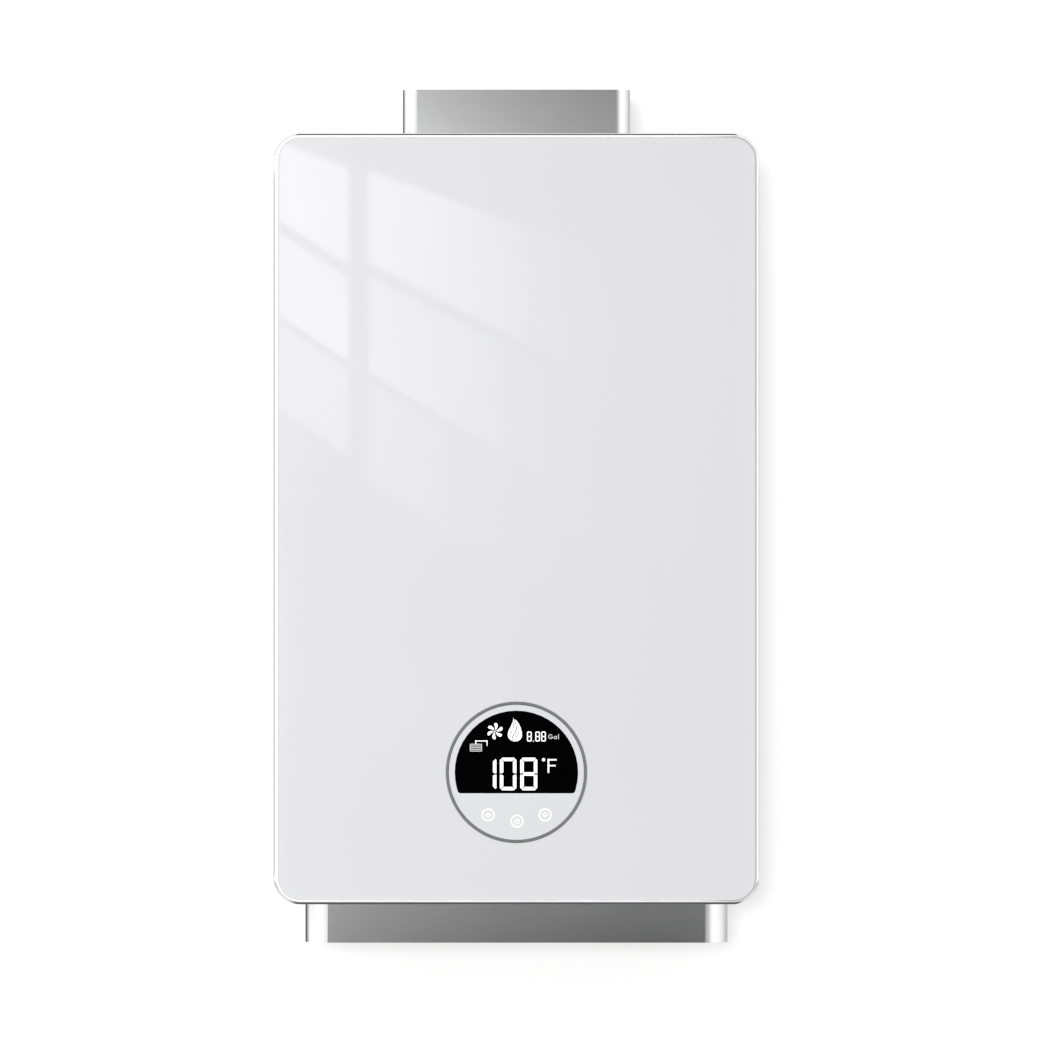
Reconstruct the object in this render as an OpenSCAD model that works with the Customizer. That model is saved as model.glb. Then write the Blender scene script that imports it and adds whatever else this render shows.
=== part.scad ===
// Wall-hung tankless gas water heater: a white glass front cover on a sheet-steel case that holds
// the fan, heat exchanger, burner, gas valve, water path and controls. Millimetres.
// The wall is the plane y = 0, the front faces -Y and +Z is up. The origin is the centre of the
// wall bracket's back face.

/* [Front cover] */
// Width of the front cover
cover_w = 340; // [330:1:356]
// Height of the front cover
cover_h = 540; // [536:1:580]
// Corner radius of the front cover
cover_corner = 18.5; // [12:0.5:24]
// Depth of the front cover
cover_d = 26; // [25:0.5:34]
// Width of the bright rim that shows around the glass
rim_w = 3; // [2.6:0.1:4.5]
// Radius that rolls the rim over at its front edge
rim_round = 2; // [1:0.1:2.4]
// Thickness of the frame's side walls
frame_t = 2.2; // [1.6:0.1:2.5]
// Thickness of the glass
glass_t = 4; // [3:0.5:5]
// How far the glass lies behind the rim's front
glass_sink = 0.5; // [0.2:0.1:1]
// Thickness of the adhesive tape behind the glass
tape_t = 0.8; // [0.5:0.1:1.5]
// Thickness of the foam seal between cover and case
seal_t = 3; // [2:0.5:4]

/* [Control pod] */
// Outer diameter of the trim ring
pod_d = 99; // [94:1:106]
// Width of the trim ring
ring_w = 2; // [1.8:0.1:3]
// Height of the trim ring above the glass
ring_proud = 0.5; // [0.3:0.1:1]
// Height of the pod's centre above the cover's lower edge
pod_up = 92.5; // [80:0.5:120]
// Diameter of the dark display lens
lens_d = 86; // [80:1:88]
// How far the lens's straight lower edge lies under the pod's centre
lens_chord = 14.5; // [10:0.5:18]
// Radius of the lens's two lower corners
lens_corner = 2; // [1:0.1:4]
// Thickness of the touch panel
touch_t = 3; // [2:0.5:3.5]
// Distance of the outer touch keys from the pod's centre line
key_x = 20; // [16:0.5:24]
// Drop of the outer touch keys under the pod's centre
key_drop = 30; // [26:0.5:32]
// Drop of the middle touch key under the pod's centre
mid_key_drop = 34.3; // [30:0.1:36]

/* [Case] */
// Width of the case
case_w = 297.5; // [296:0.5:312]
// Depth of the case
case_d = 104; // [104:1:120]
// Radius of the case's upright edges
case_corner = 16; // [10:0.5:18]
// Thickness of the case's sheet steel
sheet = 1; // [0.8:0.1:1.2]
// Width of the front flange beside the service window
front_flange = 34; // [32:1:38]
// Height of the front wall left above and below the service window
window_margin = 20; // [18:1:26]
// How far the case shows under the front cover
skirt_drop = 28; // [26:1:40]
// How far the case's top lies under the cover's upper edge
case_top_drop = 12; // [10:1:16]
// Thickness of the base plate
base_t = 1.5; // [1:0.1:2]
// Count of air slots on each side of the case
louvre_count = 9; // [4:1:12]

/* [Flue] */
// Width of the flue box
flue_w = 160; // [140:1:180]
// Depth of the flue box
flue_d = 94; // [93:1:98]
// Radius of the flue box's upright edges
flue_corner = 10; // [6:0.5:14]
// How far the flue box rises above the front cover
flue_rise = 32; // [30:1:50]
// Diameter of the flue pipe that the collar takes
flue_pipe_d = 80; // [76:1:80]
// Depth to which the flue pipe goes in
socket_depth = 26; // [20:1:28]

/* [Fan] */
// Radius of the fan wheel
wheel_r = 33; // [28:0.5:34]
// Width of the fan wheel
wheel_w = 28; // [24:0.5:29]
// Count of blades on the fan wheel
wheel_blades = 30; // [18:1:36]
// Radius of the fan motor
motor_r = 24; // [18:0.5:26]
// Radius of the motor shaft
shaft_r = 2.5; // [2:0.1:3]

/* [Burner and heat exchanger] */
// Width of the burner, chamber and heat exchanger
stack_w = 190; // [180:1:194]
// Depth of the burner, chamber and heat exchanger
stack_d = 68; // [66:1:70]
// Height of the burner tray above the base plate
burner_up = 133; // [130:1:140]
// Height of the burner tray
burner_h = 60; // [58:1:66]
// Count of burner strips
strip_count = 8; // [5:1:8]
// Height of the heat exchanger
exchanger_h = 75; // [72:1:80]
// Count of heat exchanger fins
fin_count = 34; // [16:1:40]
// Outer diameter of the water tubes
tube_d = 12; // [10:0.5:12.5]
// Height of the exhaust hood
hood_h = 45; // [40:1:48]
// Radius of the stack's upright edges
stack_corner = 14; // [10:0.5:18]
// Turns of the water coil around the chamber
coil_turns = 2; // [1:1:2]

/* [Gas and water] */
// Distance of the water connections from the centre line
water_x = 95; // [92:0.5:98]
// Outer radius of the pipe threads
thread_r = 10.4; // [9:0.1:11]
// Length of the pipe threads
thread_l = 14; // [12:0.5:15]
// How far the connections hang under the base plate
fitting_drop = 25; // [24:0.5:25.5]
// Bore radius of the connections
pipe_bore_r = 7; // [5:0.5:8]
// Opening travel of the main gas valve
main_travel = 4; // [2:0.5:5]
// Opening travel of the modulating gas valve
mod_travel = 3; // [1:0.5:4]
// Radius of the drain plug's stem
drain_r = 6; // [5:0.1:6.5]

/* [Wall bracket] */
// Height of the bracket's centre above the cover's lower edge
hang_h = 470; // [440:1:490]
// Length of the wall bracket
bracket_w = 220; // [200:1:240]
// Height of the wall bracket's plate
bracket_h = 40; // [36:1:50]
// Thickness of the wall bracket
bracket_t = 1.5; // [1.2:0.1:2]
// Space between the wall and the case
wall_gap = 10; // [10:0.5:14]
// Sideways distance between the bracket's holes
hole_pitch_x = 160; // [120:1:180]
// Upright distance between the bracket's holes
hole_pitch_z = 20; // [16:1:24]
// Radius of the bracket's holes
hole_r = 3; // [2.5:0.1:4]

/* [Fits] */
// Gap between pieces that are fixed side by side
fit = 0.2; // [0.15:0.05:0.3]
// Radial running gap of shafts and plungers
run = 0.05; // [0.03:0.01:0.1]

/* [Hidden] */
$fn = 48;

// Colours
silver = [0.62, 0.62, 0.63];
bright = [0.86, 0.86, 0.87];
white = [0.90, 0.90, 0.91];
black = [0.04, 0.04, 0.05];
zinc = [0.70, 0.71, 0.72];
copper = [0.72, 0.43, 0.28];
brass = [0.78, 0.62, 0.32];
rubber = [0.10, 0.10, 0.11];
board_green = [0.10, 0.32, 0.18];
ceramic = [0.93, 0.92, 0.88];

// Levels from the wall to the front
case_y1 = -wall_gap;
case_y0 = case_y1 - case_d;
mid_y = (case_y0 + case_y1) / 2;
in_y1 = case_y1 - sheet;
in_y0 = case_y0 + sheet;
in_x = case_w / 2 - sheet;

// Levels from the bottom to the top
cover_z0 = -hang_h;
cover_z1 = cover_z0 + cover_h;
case_z0 = cover_z0 - skirt_drop;
case_z1 = cover_z1 - case_top_drop;
flue_z1 = cover_z1 + flue_rise;
base_z0 = cover_z0;
base_z1 = base_z0 + base_t;
window_z0 = cover_z0 + window_margin;
window_z1 = case_z1 - window_margin;

// Depths inside the front cover, measured forwards from the case's front wall
glass_f = cover_d - glass_sink;
glass_b = glass_f - glass_t;
ledge_t = 1.5;
seal_out = 6;
seal_w = 5;
ledge_w = 7;
ledge_f = glass_b - tape_t;
pan_b = seal_t;
pan_f = pan_b + sheet;
pod_z = cover_z0 + pod_up;

// Plan and levels of the stack: burner, chamber, heat exchanger and hood
stack_y1 = in_y1 - 15;
stack_y0 = stack_y1 - stack_d;
stack_y = (stack_y0 + stack_y1) / 2;
tray_z0 = base_z1 + burner_up;
tray_z1 = tray_z0 + burner_h;
tube_r = tube_d / 2;
tube_wall = 1;

// Fan axis, scroll and outlet neck
volute_y1 = stack_y1 - 20;
volute_w = 38;
volute_y0 = volute_y1 - volute_w;
scroll_start = 60;
scroll_min = wheel_r + 4;
scroll_max = wheel_r + 25;
fan_x = -(scroll_min * cos(scroll_start) + scroll_max) / 2;
fan_z = case_z1 - sheet - scroll_min - 8;
neck_x0 = fan_x + scroll_min * cos(scroll_start);
neck_x1 = fan_x + scroll_max;
neck_z1 = case_z1 + 2;
eye_r = wheel_r - 7;

// Hood, heat exchanger and the five tubes in two staggered rows
hood_z1 = fan_z - scroll_max - sheet + 6;
hood_z0 = hood_z1 - hood_h;
exchanger_z0 = hood_z0 - exchanger_h;
riser_x0 = fan_x - eye_r - 8;
riser_x1 = fan_x + eye_r + 8;
riser_z1 = fan_z + eye_r + 5;
tube_pitch = 24;
row_rise = 22;
low_row_z = exchanger_z0 + 25;
tube_at = [for (i = [0 : 4])
    [stack_y1 - 10 - tube_pitch / 2 * i, low_row_z + (i % 2) * row_rise]];
end_plate_x = stack_w / 2;
stub = 2;

// Burner jets, electrodes and the gas path
electrode_x = [-24, 0, 24];
electrode_z = tray_z1 + 9;
insulator_r = 4;
jet_z = tray_z0 + 21;
manifold_gap = 2;
manifold_front = 2;
manifold_wall = 2.5;
manifold_h = 18;
manifold_y1 = stack_y0 - manifold_gap;
manifold_y0 = in_y0 + manifold_front;
manifold_t = manifold_y1 - manifold_y0;
manifold_w = stack_w - 14;
lug_x = 66;
lug_w = 10;
lug_h = 9;
lug_z0 = jet_z + manifold_h / 2 - 1;
lug_depth = stack_y0 - manifold_y0;
gas_x = 0;
gas_y = in_y0 + 23;
riser_x = 34;
riser_inset = 0.5;
riser_wall = 2;
riser_r = min(7, manifold_t / 2 - riser_inset);
riser_at = [gas_x + riser_x, manifold_y0 + manifold_t / 2 - riser_inset];
valve_up = 35;
valve_h = 50;
valve_axis_up = 27;
valve_left = 20;
valve_right = 44;
valve_front = 3;
valve_back = 20;
valve_z0 = base_z1 + valve_up;
valve_z1 = valve_z0 + valve_h;
valve_axis_z = valve_z0 + valve_axis_up;
valve_x0 = gas_x - valve_left;
valve_x1 = gas_x + valve_right;
valve_y0 = in_y0 + valve_front;
valve_y1 = gas_y + valve_back;
magnet_r = 17;
magnet_l = 32;

// Water path and controls
inlet_h = 22;
sensor_h = 50;
drain_out = 29;
inlet_z1 = base_z1 + inlet_h;
sensor_z1 = inlet_z1 + sensor_h;
drain_x = water_x + drain_out;
drain_boss_r = drain_r + 3;
unit_up = 16;
unit_h = 104;
unit_z0 = base_z1 + unit_up;
unit_z1 = unit_z0 + unit_h;
igniter_up = 50;
igniter_h = 52;
igniter_z0 = base_z1 + igniter_up;
igniter_z1 = igniter_z0 + igniter_h;

// Rounded rectangle centred on the origin
module rounded_rect(w, h, r) {
    square([w - 2 * r, h], center = true);
    square([w, h - 2 * r], center = true);
    for (sx = [-1, 1], sy = [-1, 1])
        translate([sx * (w / 2 - r), sy * (h / 2 - r)]) circle(r);
}

// Rounded rectangular band
module rounded_band(w, h, r, wall) {
    difference() {
        rounded_rect(w, h, r);
        rounded_rect(w - 2 * wall, h - 2 * wall, max(r - wall, 0.5));
    }
}

// Carries a profile round a rounded rectangle; the profile's x is measured from the corner's centre
module carry_round(w, h, r) {
    for (i = [0 : 3]) {
        side = i % 2 == 0 ? [w, h] : [h, w];
        rotate(90 * i) translate([side[0] / 2 - r, side[1] / 2 - r]) {
            rotate_extrude(angle = 90) children();
            rotate([90, 0, 0]) linear_extrude(side[1] - 2 * r) children();
        }
    }
}

// Turns a drawing so that it faces forwards from a plane y
module facing_front(y, z = 0) translate([0, y, z]) rotate([90, 0, 0]) children();

// Cylinder along X, Y or Z that starts at a point
module along_x(p, r, l) translate(p) rotate([0, 90, 0]) cylinder(r = r, h = l);
module along_y(p, r, l) translate(p) rotate([-90, 0, 0]) cylinder(r = r, h = l);
module along_z(p, r, l) translate(p) cylinder(r = r, h = l);

// Box between two corners
module box(a, b) translate(a) cube(b - a);

// Pan-head screw pointing along -Z from the seat at the origin
module screw(shank_r, length, head_r, head_h) {
    cylinder(r1 = head_r, r2 = head_r * 0.7, h = head_h);
    translate([0, 0, -length]) cylinder(r = shank_r, h = length);
}

// Smooth curve through points, and a tube along it
function unit(v) = v / norm(v);
function spline_point(a, b, c, d, t) =
    0.5 * (2 * b + (c - a) * t + (2 * a - 5 * b + 4 * c - d) * t * t
        + (3 * b - a - 3 * c + d) * t * t * t);
function smooth_path(p, steps) = let (n = len(p) - 1) [
    for (i = [0 : n - 1], s = [0 : steps - 1])
        spline_point(p[max(i - 1, 0)], p[i], p[i + 1], p[min(i + 2, n)], s / steps),
    p[n]
];
function tangents(p) = let (n = len(p) - 1)
    [for (i = [0 : n]) unit(p[min(i + 1, n)] - p[max(i - 1, 0)])];
function side_vectors(t, start) = [
    for (i = 0, v = unit(start - (start * t[0]) * t[0]); i < len(t);
        i = i + 1, v = i < len(t) ? unit(v - (v * t[i]) * t[i]) : v) v
];

module bent_tube(path, r, sides, start) {
    t = tangents(path);
    u = side_vectors(t, start);
    rings = len(path);
    points = [
        for (i = [0 : rings - 1], k = [0 : sides - 1])
            path[i] + r * (cos(360 * k / sides) * u[i] + sin(360 * k / sides) * cross(t[i], u[i]))
    ];
    walls = [
        for (i = [0 : rings - 2], k = [0 : sides - 1], half = [0, 1])
            let (a = i * sides + k, b = i * sides + (k + 1) % sides)
                half == 0 ? [a, a + sides, b] : [b, a + sides, b + sides]
    ];
    caps = [
        [for (k = [0 : sides - 1]) k],
        [for (k = [sides - 1 : -1 : 0]) (rings - 1) * sides + k]
    ];
    polyhedron(points, concat(walls, caps));
}

// Tube with an open bore; the path starts and ends straight
module bent_pipe(path, r, wall, sides, start) difference() {
    n = len(path) - 1;
    bent_tube(path, r, sides, start);
    bent_tube(concat([path[0] - unit(path[1] - path[0])], path, [path[n] + unit(path[n] - path[n - 1])]),
        r - wall, sides, start);
}

// Front cover: the frame, the glass and what carries them
frame_hole_y = case_y0 - cover_d / 2 + 4;
cover_screw_x = cover_w / 2 - 60;
cover_screw_r = 2;
cover_screw_head = 4;
cover_screw_l = 12;
peg_r = 3;
peg_x = case_w / 2 - 20;
peg_z = case_z1 - window_margin / 2;

module frame_profile() {
    x = cover_corner;
    translate([x - rim_round, cover_d - rim_round]) intersection() {
        circle(rim_round);
        square(rim_round);
    }
    polygon([
        [x - rim_round, cover_d], [x - rim_w, cover_d], [x - rim_w, ledge_f],
        [x - rim_w - ledge_w, ledge_f], [x - rim_w - ledge_w, ledge_f - ledge_t],
        [x - frame_t, ledge_f - ledge_t], [x - frame_t, 0], [x, 0], [x, cover_d - rim_round],
        [x - rim_round, cover_d - rim_round]
    ]);
}

module cover_frame() color(bright) difference() {
    facing_front(case_y0, (cover_z0 + cover_z1) / 2) carry_round(cover_w, cover_h, cover_corner)
        frame_profile();
    for (s = [-1, 1]) translate([s * cover_screw_x, frame_hole_y, cover_z0]) {
        translate([0, 0, -1]) cylinder(r = cover_screw_r + fit, h = frame_t + 2);
        cylinder(r1 = cover_screw_head + fit, r2 = cover_screw_r + fit, h = frame_t - 0.2);
    }
}

module cover_screws() color(zinc)
    for (s = [-1, 1]) translate([s * cover_screw_x, frame_hole_y, cover_z0]) {
        cylinder(r1 = cover_screw_head, r2 = cover_screw_r, h = frame_t - 0.2);
        cylinder(r = cover_screw_r, h = cover_screw_l);
    }

module glass_outline(gap)
    rounded_rect(cover_w - 2 * (rim_w + gap), cover_h - 2 * (rim_w + gap),
        cover_corner - rim_w - gap);

module glass_panel() color(white)
    facing_front(case_y0 - glass_b, (cover_z0 + cover_z1) / 2) linear_extrude(glass_t) difference() {
        glass_outline(fit);
        translate([0, pod_z - (cover_z0 + cover_z1) / 2]) circle(pod_d / 2 - ring_w / 3);
    }

module glass_tape() color(rubber)
    facing_front(case_y0 - ledge_f, (cover_z0 + cover_z1) / 2) linear_extrude(tape_t)
        difference() {
            glass_outline(2 * fit);
            glass_outline(ledge_w - fit);
        }

pan_wall = 12;
module cover_pan() color(zinc) difference() {
    union() {
        facing_front(case_y0 - pan_b, (cover_z0 + cover_z1) / 2) {
            w = cover_w - 2 * (frame_t + fit);
            h = cover_h - 2 * (frame_t + fit);
            r = cover_corner - frame_t - fit;
            linear_extrude(sheet) rounded_rect(w, h, r);
            linear_extrude(min(pan_wall, ledge_f - ledge_t - fit - pan_b))
                rounded_band(w, h, r, sheet);
        }
        for (s = [-1, 1]) along_y([s * peg_x, case_y0 - pan_b, peg_z], peg_r, seal_t + sheet + 4);
    }
    for (s = [-1, 1])
        box([s * cover_screw_x - catch_w / 2 - 1, case_y0 - cover_d, cover_z0],
            [s * cover_screw_x + catch_w / 2 + 1, case_y0, cover_z0 + catch_h + 3]);
}

module cover_seal() color(rubber)
    facing_front(case_y0, (window_z0 + window_z1) / 2) linear_extrude(seal_t)
        rounded_band(case_w - 2 * (front_flange - seal_out), window_z1 - window_z0 + 2 * seal_out,
            seal_out, seal_w);

// Tabs on the case that the cover's two screws clamp; their notches are open to the front
catch_w = 18;
catch_h = window_margin - seal_out - 1;
catch_rise = 5;
module cover_catches()
    for (s = [-1, 1]) difference() {
        translate([s * cover_screw_x - catch_w / 2, 0, cover_z0 + catch_rise]) {
            box([0, case_y0 - cover_d * 0.6, 0], [catch_w, case_y0, sheet * 1.5]);
            box([0, case_y0 - sheet * 1.5, 0], [catch_w, case_y0, catch_h - catch_rise]);
        }
        translate([s * cover_screw_x, frame_hole_y, cover_z0]) {
            cylinder(r = cover_screw_r + fit, h = catch_h);
            box([-cover_screw_r - fit, -cover_d, 0], [cover_screw_r + fit, 0, catch_h]);
        }
    }

// Control pod: ring, touch panel and lens in the glass, with the display behind them
pod_floor = pan_f;
ring_in = pod_d / 2 - ring_w;
ring_b = glass_b - 1;
pod_wall = 1.5;
board_t = 1.6;
board_b = pan_f + 9;
lens_lip = 1.2;
lens_back = glass_f - touch_t - lens_lip;

module at_pod(depth) facing_front(case_y0 - depth, pod_z) children();

module display_ring() color(bright) at_pod(0) rotate_extrude() {
    seat = pod_d / 2 - ring_w / 3 - fit;
    polygon([
        [ring_in, ring_b], [seat, ring_b], [seat, glass_f], [pod_d / 2, glass_f],
        [pod_d / 2, glass_f + ring_proud / 2], [pod_d / 2 - ring_w / 4, glass_f + ring_proud],
        [ring_in + ring_w / 4, glass_f + ring_proud], [ring_in, glass_f + ring_proud / 2]
    ]);
}

module lens_outline(grow) {
    r = lens_d / 2 + grow;
    q = lens_corner + grow;
    low = -lens_chord - grow;
    side = sqrt((r - q) * (r - q) - (low + q) * (low + q));
    hull() {
        intersection() {
            circle(r);
            translate([-r, (low + q) * r / (r - q)]) square(2 * r);
        }
        for (s = [-1, 1]) translate([s * side, low + q]) circle(q);
    }
}

module touch_panel() color(white) at_pod(glass_f - touch_t) linear_extrude(touch_t) difference() {
    circle(ring_in - fit);
    lens_outline(fit);
}

module display_lens() color(black) at_pod(lens_back) {
    linear_extrude(lens_lip) lens_outline(1.5);
    linear_extrude(lens_lip + touch_t) lens_outline(0);
}

module_w = 62;
module_h = 33;
module display_board() color(board_green) at_pod(board_b) {
    linear_extrude(board_t) difference() {
        circle(pod_d / 2 - ring_w - pod_wall);
        for (a = [30, 150]) rotate(a) translate([lens_d / 2 - 3, 0]) circle(1.6);
    }
    linear_extrude(lens_back - board_b - fit)
        translate([-module_w / 2, -lens_chord + 2]) square([module_w, module_h]);
}

module display_housing() color(black) at_pod(0) rotate_extrude() {
    out = ring_in + 0.8;
    polygon([
        [0, pod_floor], [out, pod_floor], [out, ring_b], [out - pod_wall, ring_b],
        [out - pod_wall, board_b], [out - 6, board_b], [out - 6, pod_floor + pod_wall],
        [0, pod_floor + pod_wall]
    ]);
}

// Contact springs between the display board and the touch panel, one behind each key
spring_wire = 0.4;
spring_turns = 4;
module touch_spring() {
    height = glass_f - touch_t - board_b - board_t - 2 * spring_wire - 2 * fit;
    path = [
        for (i = [0 : 8 * spring_turns])
            let (a = 45 * i) [
                3.6 * cos(a), 3.6 * sin(a), spring_wire + fit + height * i / (8 * spring_turns)
            ]
    ];
    bent_tube(path, spring_wire, 6, [1, 0, 0]);
}

module touch_springs() color(brass) at_pod(board_b + board_t)
    for (k = [[-key_x, -key_drop], [0, -mid_key_drop], [key_x, -key_drop]])
        translate(k) touch_spring();

// Case: wrapper, plates and the rail that it hangs by
louvre_l = 44;
louvre_h = 3;
louvre_pitch = 8;
side_screw_y = [mid_y - 26, mid_y + 26];
side_screw_r = 1.9;
side_hole_l = 8;
base_flange = 14;
top_flange = 12;

module side_screw_places() for (s = [-1, 1], y = side_screw_y) {
    translate([s * case_w / 2, y, base_z1 + base_flange / 2]) rotate([0, s * 90, 0]) children();
    translate([s * case_w / 2, y, case_z1 - sheet - top_flange / 2]) rotate([0, s * 90, 0])
        children();
}

module case_shell() color(silver) {
    case_wrapper();
    cover_catches();
}

module case_wrapper() difference() {
    translate([0, mid_y, case_z0]) linear_extrude(case_z1 - sheet - case_z0)
        rounded_band(case_w, case_d, case_corner, sheet);
    facing_front(in_y0 + 1, (window_z0 + window_z1) / 2) linear_extrude(sheet + 2)
        rounded_rect(case_w - 2 * front_flange, window_z1 - window_z0, 5);
    for (s = [-1, 1]) along_y([s * peg_x, case_y0 - 1, peg_z], peg_r + fit, sheet + 2);
    for (i = [0 : louvre_count - 1])
        translate([-case_w / 2 - 1, mid_y, base_z1 + 40 + louvre_pitch * i]) {
            box([0, -louvre_l / 2, 0], [case_w + 2, louvre_l / 2, louvre_h]);
            for (s = [-1, 1])
                along_x([0, s * louvre_l / 2, louvre_h / 2], louvre_h / 2, case_w + 2);
        }
    side_screw_places() cylinder(r = side_screw_r + fit, h = side_hole_l, center = true);
}

module lug_screw_places() for (s = [-1, 1])
    translate([s * lug_x, manifold_y0, lug_z0 + lug_h / 2]) rotate([90, 0, 0]) children();

module case_screws() color(zinc) {
    lug_screw_places() screw(side_screw_r, lug_depth + sheet + 3, 3.8, 1.8);
    side_screw_places() screw(side_screw_r, 7, 3.8, 1.8);
    for (p = flue_screw_at) translate([p[0], p[1], case_z1 + gasket_t + sheet])
        screw(side_screw_r, 7, 3.8, 1.8);
}

fitting_hole = 15.2;
grommet_at = [-45, mid_y + 20];
grommet_hole = 8;
slot_l = 20;
slot_w = 4;
slot_xs = [for (x = [-120 : 12 : 120]) if (abs(x - grommet_at[0]) > grommet_hole + 6) x];
module base_plate() color(zinc) difference() {
    union() {
        translate([0, mid_y, base_z0]) linear_extrude(base_t)
            rounded_rect(2 * (in_x - fit), case_d - 2 * (sheet + fit), case_corner - sheet - fit);
        for (s = [-1, 1])
            translate([s * (in_x - fit - sheet / 2), mid_y, base_z0 + base_flange / 2])
                cube([sheet, case_d - 2 * case_corner - 4, base_flange], center = true);
    }
    for (p = [[-water_x, mid_y], [water_x, mid_y], [gas_x, gas_y]])
        along_z([p[0], p[1], base_z0 - 1], fitting_hole, base_t + 2);
    along_z([drain_x, mid_y, base_z0 - 1], drain_boss_r + 2 * fit, base_t + 2);
    along_z([grommet_at[0], grommet_at[1], base_z0 - 1], grommet_hole, base_t + 2);
    for (x = slot_xs)
        box([x - slot_w / 2, in_y1 - 8 - slot_l, base_z0 - 1],
            [x + slot_w / 2, in_y1 - 8, base_z1 + 1]);
    side_screw_places() cylinder(r = side_screw_r + fit, h = side_hole_l, center = true);
}

module cord_grommet() color(rubber) translate([grommet_at[0], grommet_at[1], base_z0])
    rotate_extrude() polygon([
        [5, -3], [grommet_hole + 2.5, -3], [grommet_hole + 2.5, -fit], [grommet_hole - fit, -fit],
        [grommet_hole - fit, base_t + fit], [grommet_hole + 2.5, base_t + fit],
        [grommet_hole + 1.5, base_t + 3], [5, base_t + 3]
    ]);

// Scroll of the fan casing
function scroll_radius(a, grow) =
    scroll_min + grow + (scroll_max - scroll_min) * (a - scroll_start) / (360 - scroll_start);
module scroll_outline(grow) translate([fan_x, fan_z]) {
    left = scroll_min * cos(scroll_start) - grow;
    circle(scroll_min);
    polygon(concat([[0, 0]],
        [for (a = [scroll_start : 10 : 360]) scroll_radius(a, grow) * [cos(a), sin(a)]]));
    translate([left, 0]) square([scroll_max + grow - left, neck_z1 - fan_z]);
}

// Top plate with the outlet opening and the flap's two hinge ears
ear_t = 1.2;
flap_pin_r = 1.5;
flap_t = 1;
flap_z0 = neck_z1 + fit;
flap_pin_z = flap_z0 + flap_pin_r + 1.6;
flap_pin_y = volute_y1 + 4;
ear_x = (neck_x1 - neck_x0) / 2 + 2;

module top_plate() color(silver) difference() {
    union() {
        translate([0, mid_y, case_z1 - sheet]) linear_extrude(sheet)
            rounded_rect(case_w, case_d, case_corner);
        for (s = [-1, 1]) {
            translate([s * (in_x - fit - sheet / 2), mid_y, case_z1 - sheet - top_flange / 2])
                cube([sheet, case_d - 2 * case_corner - 4, top_flange], center = true);
            translate([s * (ear_x + ear_t / 2), flap_pin_y, 0]) {
                box([-ear_t / 2, -4, case_z1 - sheet], [ear_t / 2, 4, flap_pin_z]);
                along_x([-ear_t / 2, 0, flap_pin_z], 4, ear_t);
            }
        }
    }
    box([neck_x0 - sheet - 2 * fit, volute_y0 - 2 * fit, case_z1 - 2 * sheet],
        [neck_x1 + sheet + 2 * fit, volute_y1 + 2 * fit, case_z1 + 1]);
    along_x([-ear_x - 5, flap_pin_y, flap_pin_z], flap_pin_r + run, 2 * ear_x + 10);
    for (p = flue_screw_at) along_z([p[0], p[1], case_z1 - 2], side_screw_r + fit, 4);
    side_screw_places() cylinder(r = side_screw_r + fit, h = side_hole_l, center = true);
}

module backdraft_flap() color(zinc) difference() {
    union() {
        box([neck_x0 - 1, volute_y0 - 0.5, flap_z0],
            [neck_x1 + 1, flap_pin_y, flap_z0 + flap_t]);
        along_x([-ear_x + 0.5, flap_pin_y, flap_pin_z], flap_pin_r + 1.6, 2 * ear_x - 1);
    }
    along_x([-ear_x, flap_pin_y, flap_pin_z], flap_pin_r + run, 2 * ear_x);
}

module flap_pin() color(zinc)
    along_x([-ear_x - ear_t - 1, flap_pin_y, flap_pin_z], flap_pin_r, 2 * (ear_x + ear_t + 1));

// Flue box on a gasket, and the collar inside it that takes the flue pipe
gasket_t = 1;
flue_foot = 9;
flue_y = mid_y;
flue_screw_at = [for (s = [-1, 1], t = [-1, 1])
    [s * (flue_w / 2 + flue_foot / 2), flue_y + t * (flue_d / 2 - 22)]];
collar_t = 1.2;
collar_r = flue_pipe_d / 2 + 0.25;
collar_ledge = 3;

module flue_gasket() color(rubber) difference() {
    translate([0, flue_y, case_z1]) linear_extrude(gasket_t) difference() {
        union() {
            rounded_rect(flue_w, flue_d, flue_corner);
            square([flue_w + 2 * flue_foot, flue_d - 2 * flue_corner], center = true);
        }
        rounded_rect(flue_w - 2 * sheet, flue_d - 2 * sheet, flue_corner - sheet);
    }
    for (p = flue_screw_at) along_z([p[0], p[1], case_z1 - 1], side_screw_r + fit, 4);
}

module flue_box() color(silver) difference() {
    translate([0, flue_y, case_z1 + gasket_t]) {
        linear_extrude(flue_z1 - sheet - case_z1 - gasket_t)
            rounded_rect(flue_w, flue_d, flue_corner);
        linear_extrude(sheet)
            square([flue_w + 2 * flue_foot, flue_d - 2 * flue_corner], center = true);
    }
    translate([0, flue_y, case_z1]) linear_extrude(flue_z1 - case_z1)
        rounded_rect(flue_w - 2 * sheet, flue_d - 2 * sheet, flue_corner - sheet);
    for (p = flue_screw_at) along_z([p[0], p[1], case_z1], side_screw_r + fit, 5);
}

module flue_top() color(silver) translate([0, flue_y, flue_z1 - sheet]) linear_extrude(sheet) difference() {
    rounded_rect(flue_w, flue_d, flue_corner);
    circle(collar_r + collar_t + fit);
}

module flue_collar() color(zinc) translate([0, flue_y, flue_z1]) rotate_extrude() polygon([
    [collar_r, 0], [collar_r + collar_t, 0], [collar_r + collar_t, -sheet],
    [collar_r + 5, -sheet], [collar_r + 5, -2 * sheet], [collar_r + collar_t, -2 * sheet],
    [collar_r + collar_t, -socket_depth - 1], [collar_r - collar_ledge, -socket_depth - 1],
    [collar_r - collar_ledge, -socket_depth], [collar_r, -socket_depth]
]);

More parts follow.
